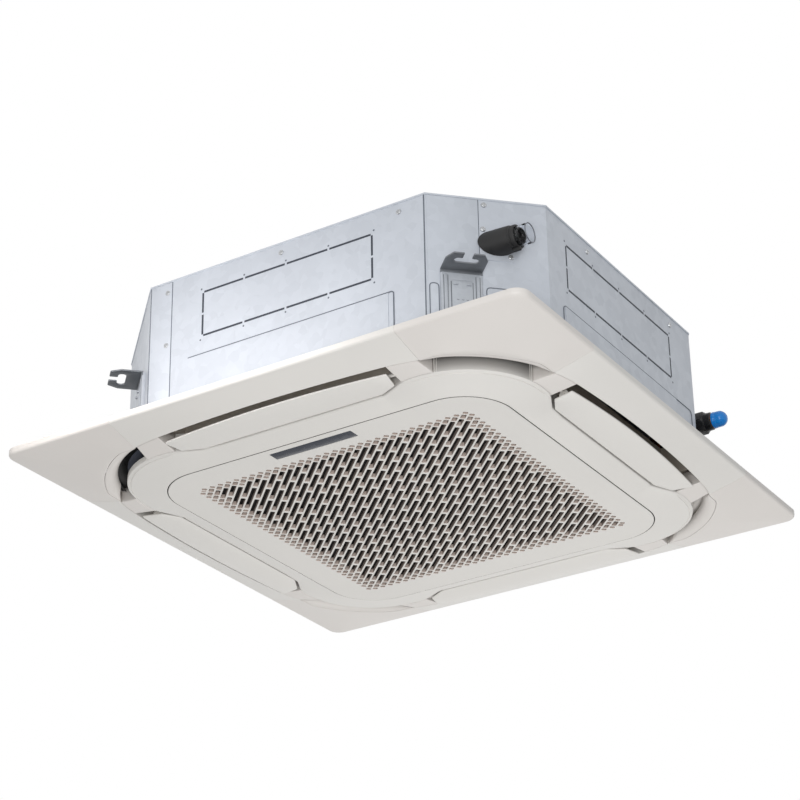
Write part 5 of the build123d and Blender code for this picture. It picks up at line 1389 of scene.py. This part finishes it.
class CASSETTE_OT_fittings(bpy.types.Operator):
    """Makes the brackets, screws, drain end and refrigerant ends."""
    bl_idname = "cassette.fittings"
    bl_label = "Brackets and fittings"

    def execute(self, context):
        for name in CORNERS:
            place("bracket_" + name, hanger_shelf(name), "unit", "bracket_steel",
                  ("hanger_bracket_" + name,))
            place("bracket_web_" + name, hanger_web(name), "unit", "bracket_steel", looks=("bracket_pale",))
            # painted shade lines on the bracket's upright, in the shelf's darker finish
            place("bracket_lines_" + name, hanger_lines(name), "unit", "bracket_steel")
        place("wall_screws", wall_screws(), "unit", "screw_steel", ("casing_screws",), sharp=40)
        place("wall_pads", wall_pads(), "unit", "galvanised")
        place("wall_marks", wall_marks(), "unit", "galvanised", looks=("seam_shade",))
        # painted shade over the knock-out slits
        place("slit_lines", slit_lines(), "unit", "galvanised", looks=("slit_dark",))
        place("sleeve", drain_sleeve(), "unit", "black_rubber", ("drain_sleeve",))
        place("drain_tube", drain_tube(), "unit", "clear_pipe", ("drain_pipe",))
        place("drain_inner", drain_inner(), "unit", "black_rubber")
        place("drain_lip", drain_lip(), "unit", "clear_pipe", looks=("lip_grey",))
        for tag, (across, x, nut, collar, radius, cap, z) in VALVES.items():
            nuts, caps = (("flare_nuts",), ("pipe_caps",)) if tag == "gas" else ((), ())
            place("nut_" + tag, valve_nut(across, x, nut, z), "unit", "black_nut", nuts, bevel=0.3)
            place("collar_" + tag, collar_and_thread(across, x + nut, collar, z), "unit", "copper",
                  looks=("brass",))
            place("cap_" + tag, cap_dome(radius, x + nut + collar, cap, z), "unit", "blue_cap", caps)
        return {"FINISHED"}


class CASSETTE_OT_bodywork(bpy.types.Operator):
    """Gives every CAD node that stays in view its finish."""
    bl_idname = "cassette.bodywork"
    bl_label = "Casing and inner parts"

    def execute(self, context):
        hidden = ("panel_rim", "panel_island", "intake_grille", "display_window", "casing_screws",
                  "drain_sleeve", "drain_pipe", "flare_nuts", "pipe_caps")
        families = ("corner_cover", "corner_outlet", "flap_front", "flap_right", "flap_back", "flap_left",
                    "hanger_bracket")
        slots = {part["node"]: part["material_slot"] for part in frame["record"]["subparts"]}
        for name, obj in frame["nodes"].items():
            if name not in hidden and not name.startswith(families):
                obj.data.materials.clear()
                obj.data.materials.append(finish(OWN_FINISH.get(name, slots[name])))
        return {"FINISHED"}


def look_from(sizes, target):
    """The camera's place and its axes: forward to the target, right level with the ground,
    both turned by the roll."""
    az, el, roll = sizes.heading, sizes.height, sizes.roll
    away = Vector((sin(az) * cos(el), -cos(az) * cos(el), sin(el)))
    right = (-away).cross(Vector((0, 0, 1))).normalized()
    up = right.cross(-away)
    right, up = right * cos(roll) + up * sin(roll), up * cos(roll) - right * sin(roll)
    matrix = Matrix((right, up, away)).transposed().to_4x4()
    matrix.translation = target + away * sizes.distance
    return matrix


# each lamp: its place, its target, its size, its height where it is a strip, and its tint
LAMPS = {
    "key": ((0.0, 1.0, -2.35), (0.1, 0.0, 0.0), 2.2, None, (1.0, 0.99, 0.975)),
    "wall": ((-0.16, -0.66, -0.05), (-0.16, -0.42, -0.03), 0.6, 0.1, (1.0, 0.965, 0.955)),
    "corner": ((1.0, -1.25, -0.1), (0.34, -0.34, 0.0), 0.5, None, (0.96, 0.98, 1.0)),
    "fill": ((1.2, -2.3, -1.2), (0.1, -0.1, -0.1), 0.9, None, (1.0, 0.99, 0.98)),
}
CAMERA_TARGET = (0.15405, -0.28802, -0.124)
FLOOR_HALF, FLOOR_Z = 6500.0, -2600.0


class CASSETTE_OT_stage(bpy.types.Operator):
    """Makes the camera, the lamps, the pale floor and the plain sky."""
    bl_idname = "cassette.stage"
    bl_label = "Stage"

    def execute(self, context):
        scene, sizes = context.scene, context.scene.cassette_stage
        camera_data = bpy.data.cameras.new("camera")
        camera_data.lens = sizes.lens
        camera_data.sensor_width = 36.0
        camera_data.clip_end = 100.0
        camera = bpy.data.objects.new("camera", camera_data)
        scene.collection.objects.link(camera)
        camera.matrix_world = look_from(sizes, Vector(CAMERA_TARGET))
        scene.camera = camera
        for name, (at, target, size, strip, tint) in LAMPS.items():
            data = bpy.data.lights.new(name + "_lamp", "AREA")
            data.shape = "RECTANGLE" if strip else "DISK"
            data.size = size
            if strip:
                data.size_y = strip
            data.energy = getattr(sizes, name + "_power")
            data.color = tint
            lamp = bpy.data.objects.new(name + "_lamp", data)
            scene.collection.objects.link(lamp)
            lamp.location = at
            lamp.rotation_euler = (Vector(target) - Vector(at)).to_track_quat("-Z", "Y").to_euler()
            lamp.visible_camera = False
        self.floor()
        self.sky(scene, sizes.sky)
        scene.view_settings.view_transform = "Standard"
        return {"FINISHED"}

    def floor(self):
        side = np.linspace(-FLOOR_HALF, FLOOR_HALF, 3)
        x, y = np.meshgrid(side, side)
        mesh = sheet(np.stack([x, y, np.full_like(x, FLOOR_Z)], -1)).mesh("floor", weld=False)
        obj = bpy.data.objects.new("floor", mesh)
        bpy.context.scene.collection.objects.link(obj)
        mat, _, shader = start_finish("floor", 0.9)
        shader.inputs["Base Color"].default_value = rgb(240, 240, 240)
        mesh.materials.append(mat)

    def sky(self, scene, strength):
        """Even light on the object, and plain white where the camera sees the world itself."""
        world = bpy.data.worlds.new("sky")
        scene.world = world
        world.use_nodes = True
        tree = world.node_tree
        tree.nodes.clear()
        seen = node(tree, "Background", {"Color": (1, 1, 1, 1)})
        light = node(tree, "Background", {"Color": (0.96, 0.98, 1.0, 1), "Strength": strength})
        rays = node(tree, "LightPath").outputs
        total = maths(tree, "ADD", rays["Is Camera Ray"], rays["Is Glossy Ray"])
        total = maths(tree, "ADD", total, rays["Is Transmission Ray"], clamp=True)
        mix = node(tree, "MixShader", {"Fac": total, 1: light.outputs[0], 2: seen.outputs[0]})
        node(tree, "OutputWorld", {"Surface": mix.outputs[0]})


OPERATORS = (
    CASSETTE_OT_stage, CASSETTE_OT_rim, CASSETTE_OT_centre, CASSETTE_OT_flaps, CASSETTE_OT_grille,
    CASSETTE_OT_fittings, CASSETTE_OT_bodywork,
)
SETTINGS = {
    "cassette_panel": CassettePanelSizes,
    "cassette_grille": CassetteGrilleSizes,
    "cassette_looks": CassetteLooks,
    "cassette_stage": CassetteStage,
}


class CASSETTE_PT_sidebar(bpy.types.Panel):
    """Lists the pieces of the cassette in the sidebar."""
    bl_idname = "CASSETTE_PT_sidebar"
    bl_label = "Cassette"
    bl_space_type = "VIEW_3D"
    bl_region_type = "UI"
    bl_category = "Cassette"

    def draw(self, context):
        column = self.layout.column()
        for operator in OPERATORS:
            column.operator(operator.bl_idname)
        for group_name in SETTINGS:
            settings = getattr(context.scene, group_name)
            for key in settings.__annotations__:
                column.prop(settings, key)


CLASSES = tuple(SETTINGS.values()) + OPERATORS + (CASSETTE_PT_sidebar,)


def register():
    for cls in CLASSES:
        bpy.utils.register_class(cls)
    for name, cls in SETTINGS.items():
        setattr(bpy.types.Scene, name, bpy.props.PointerProperty(type=cls))


def unregister():
    for name in SETTINGS:
        delattr(bpy.types.Scene, name)
    for cls in reversed(CLASSES):
        bpy.utils.unregister_class(cls)


def main():
    register()
    bpy.ops.cassette.stage()
    bpy.ops.cassette.rim()
    bpy.ops.cassette.centre()
    bpy.ops.cassette.flaps()
    bpy.ops.cassette.grille()
    bpy.ops.cassette.fittings()
    bpy.ops.cassette.bodywork()


if __name__ == "__main__":
    main()
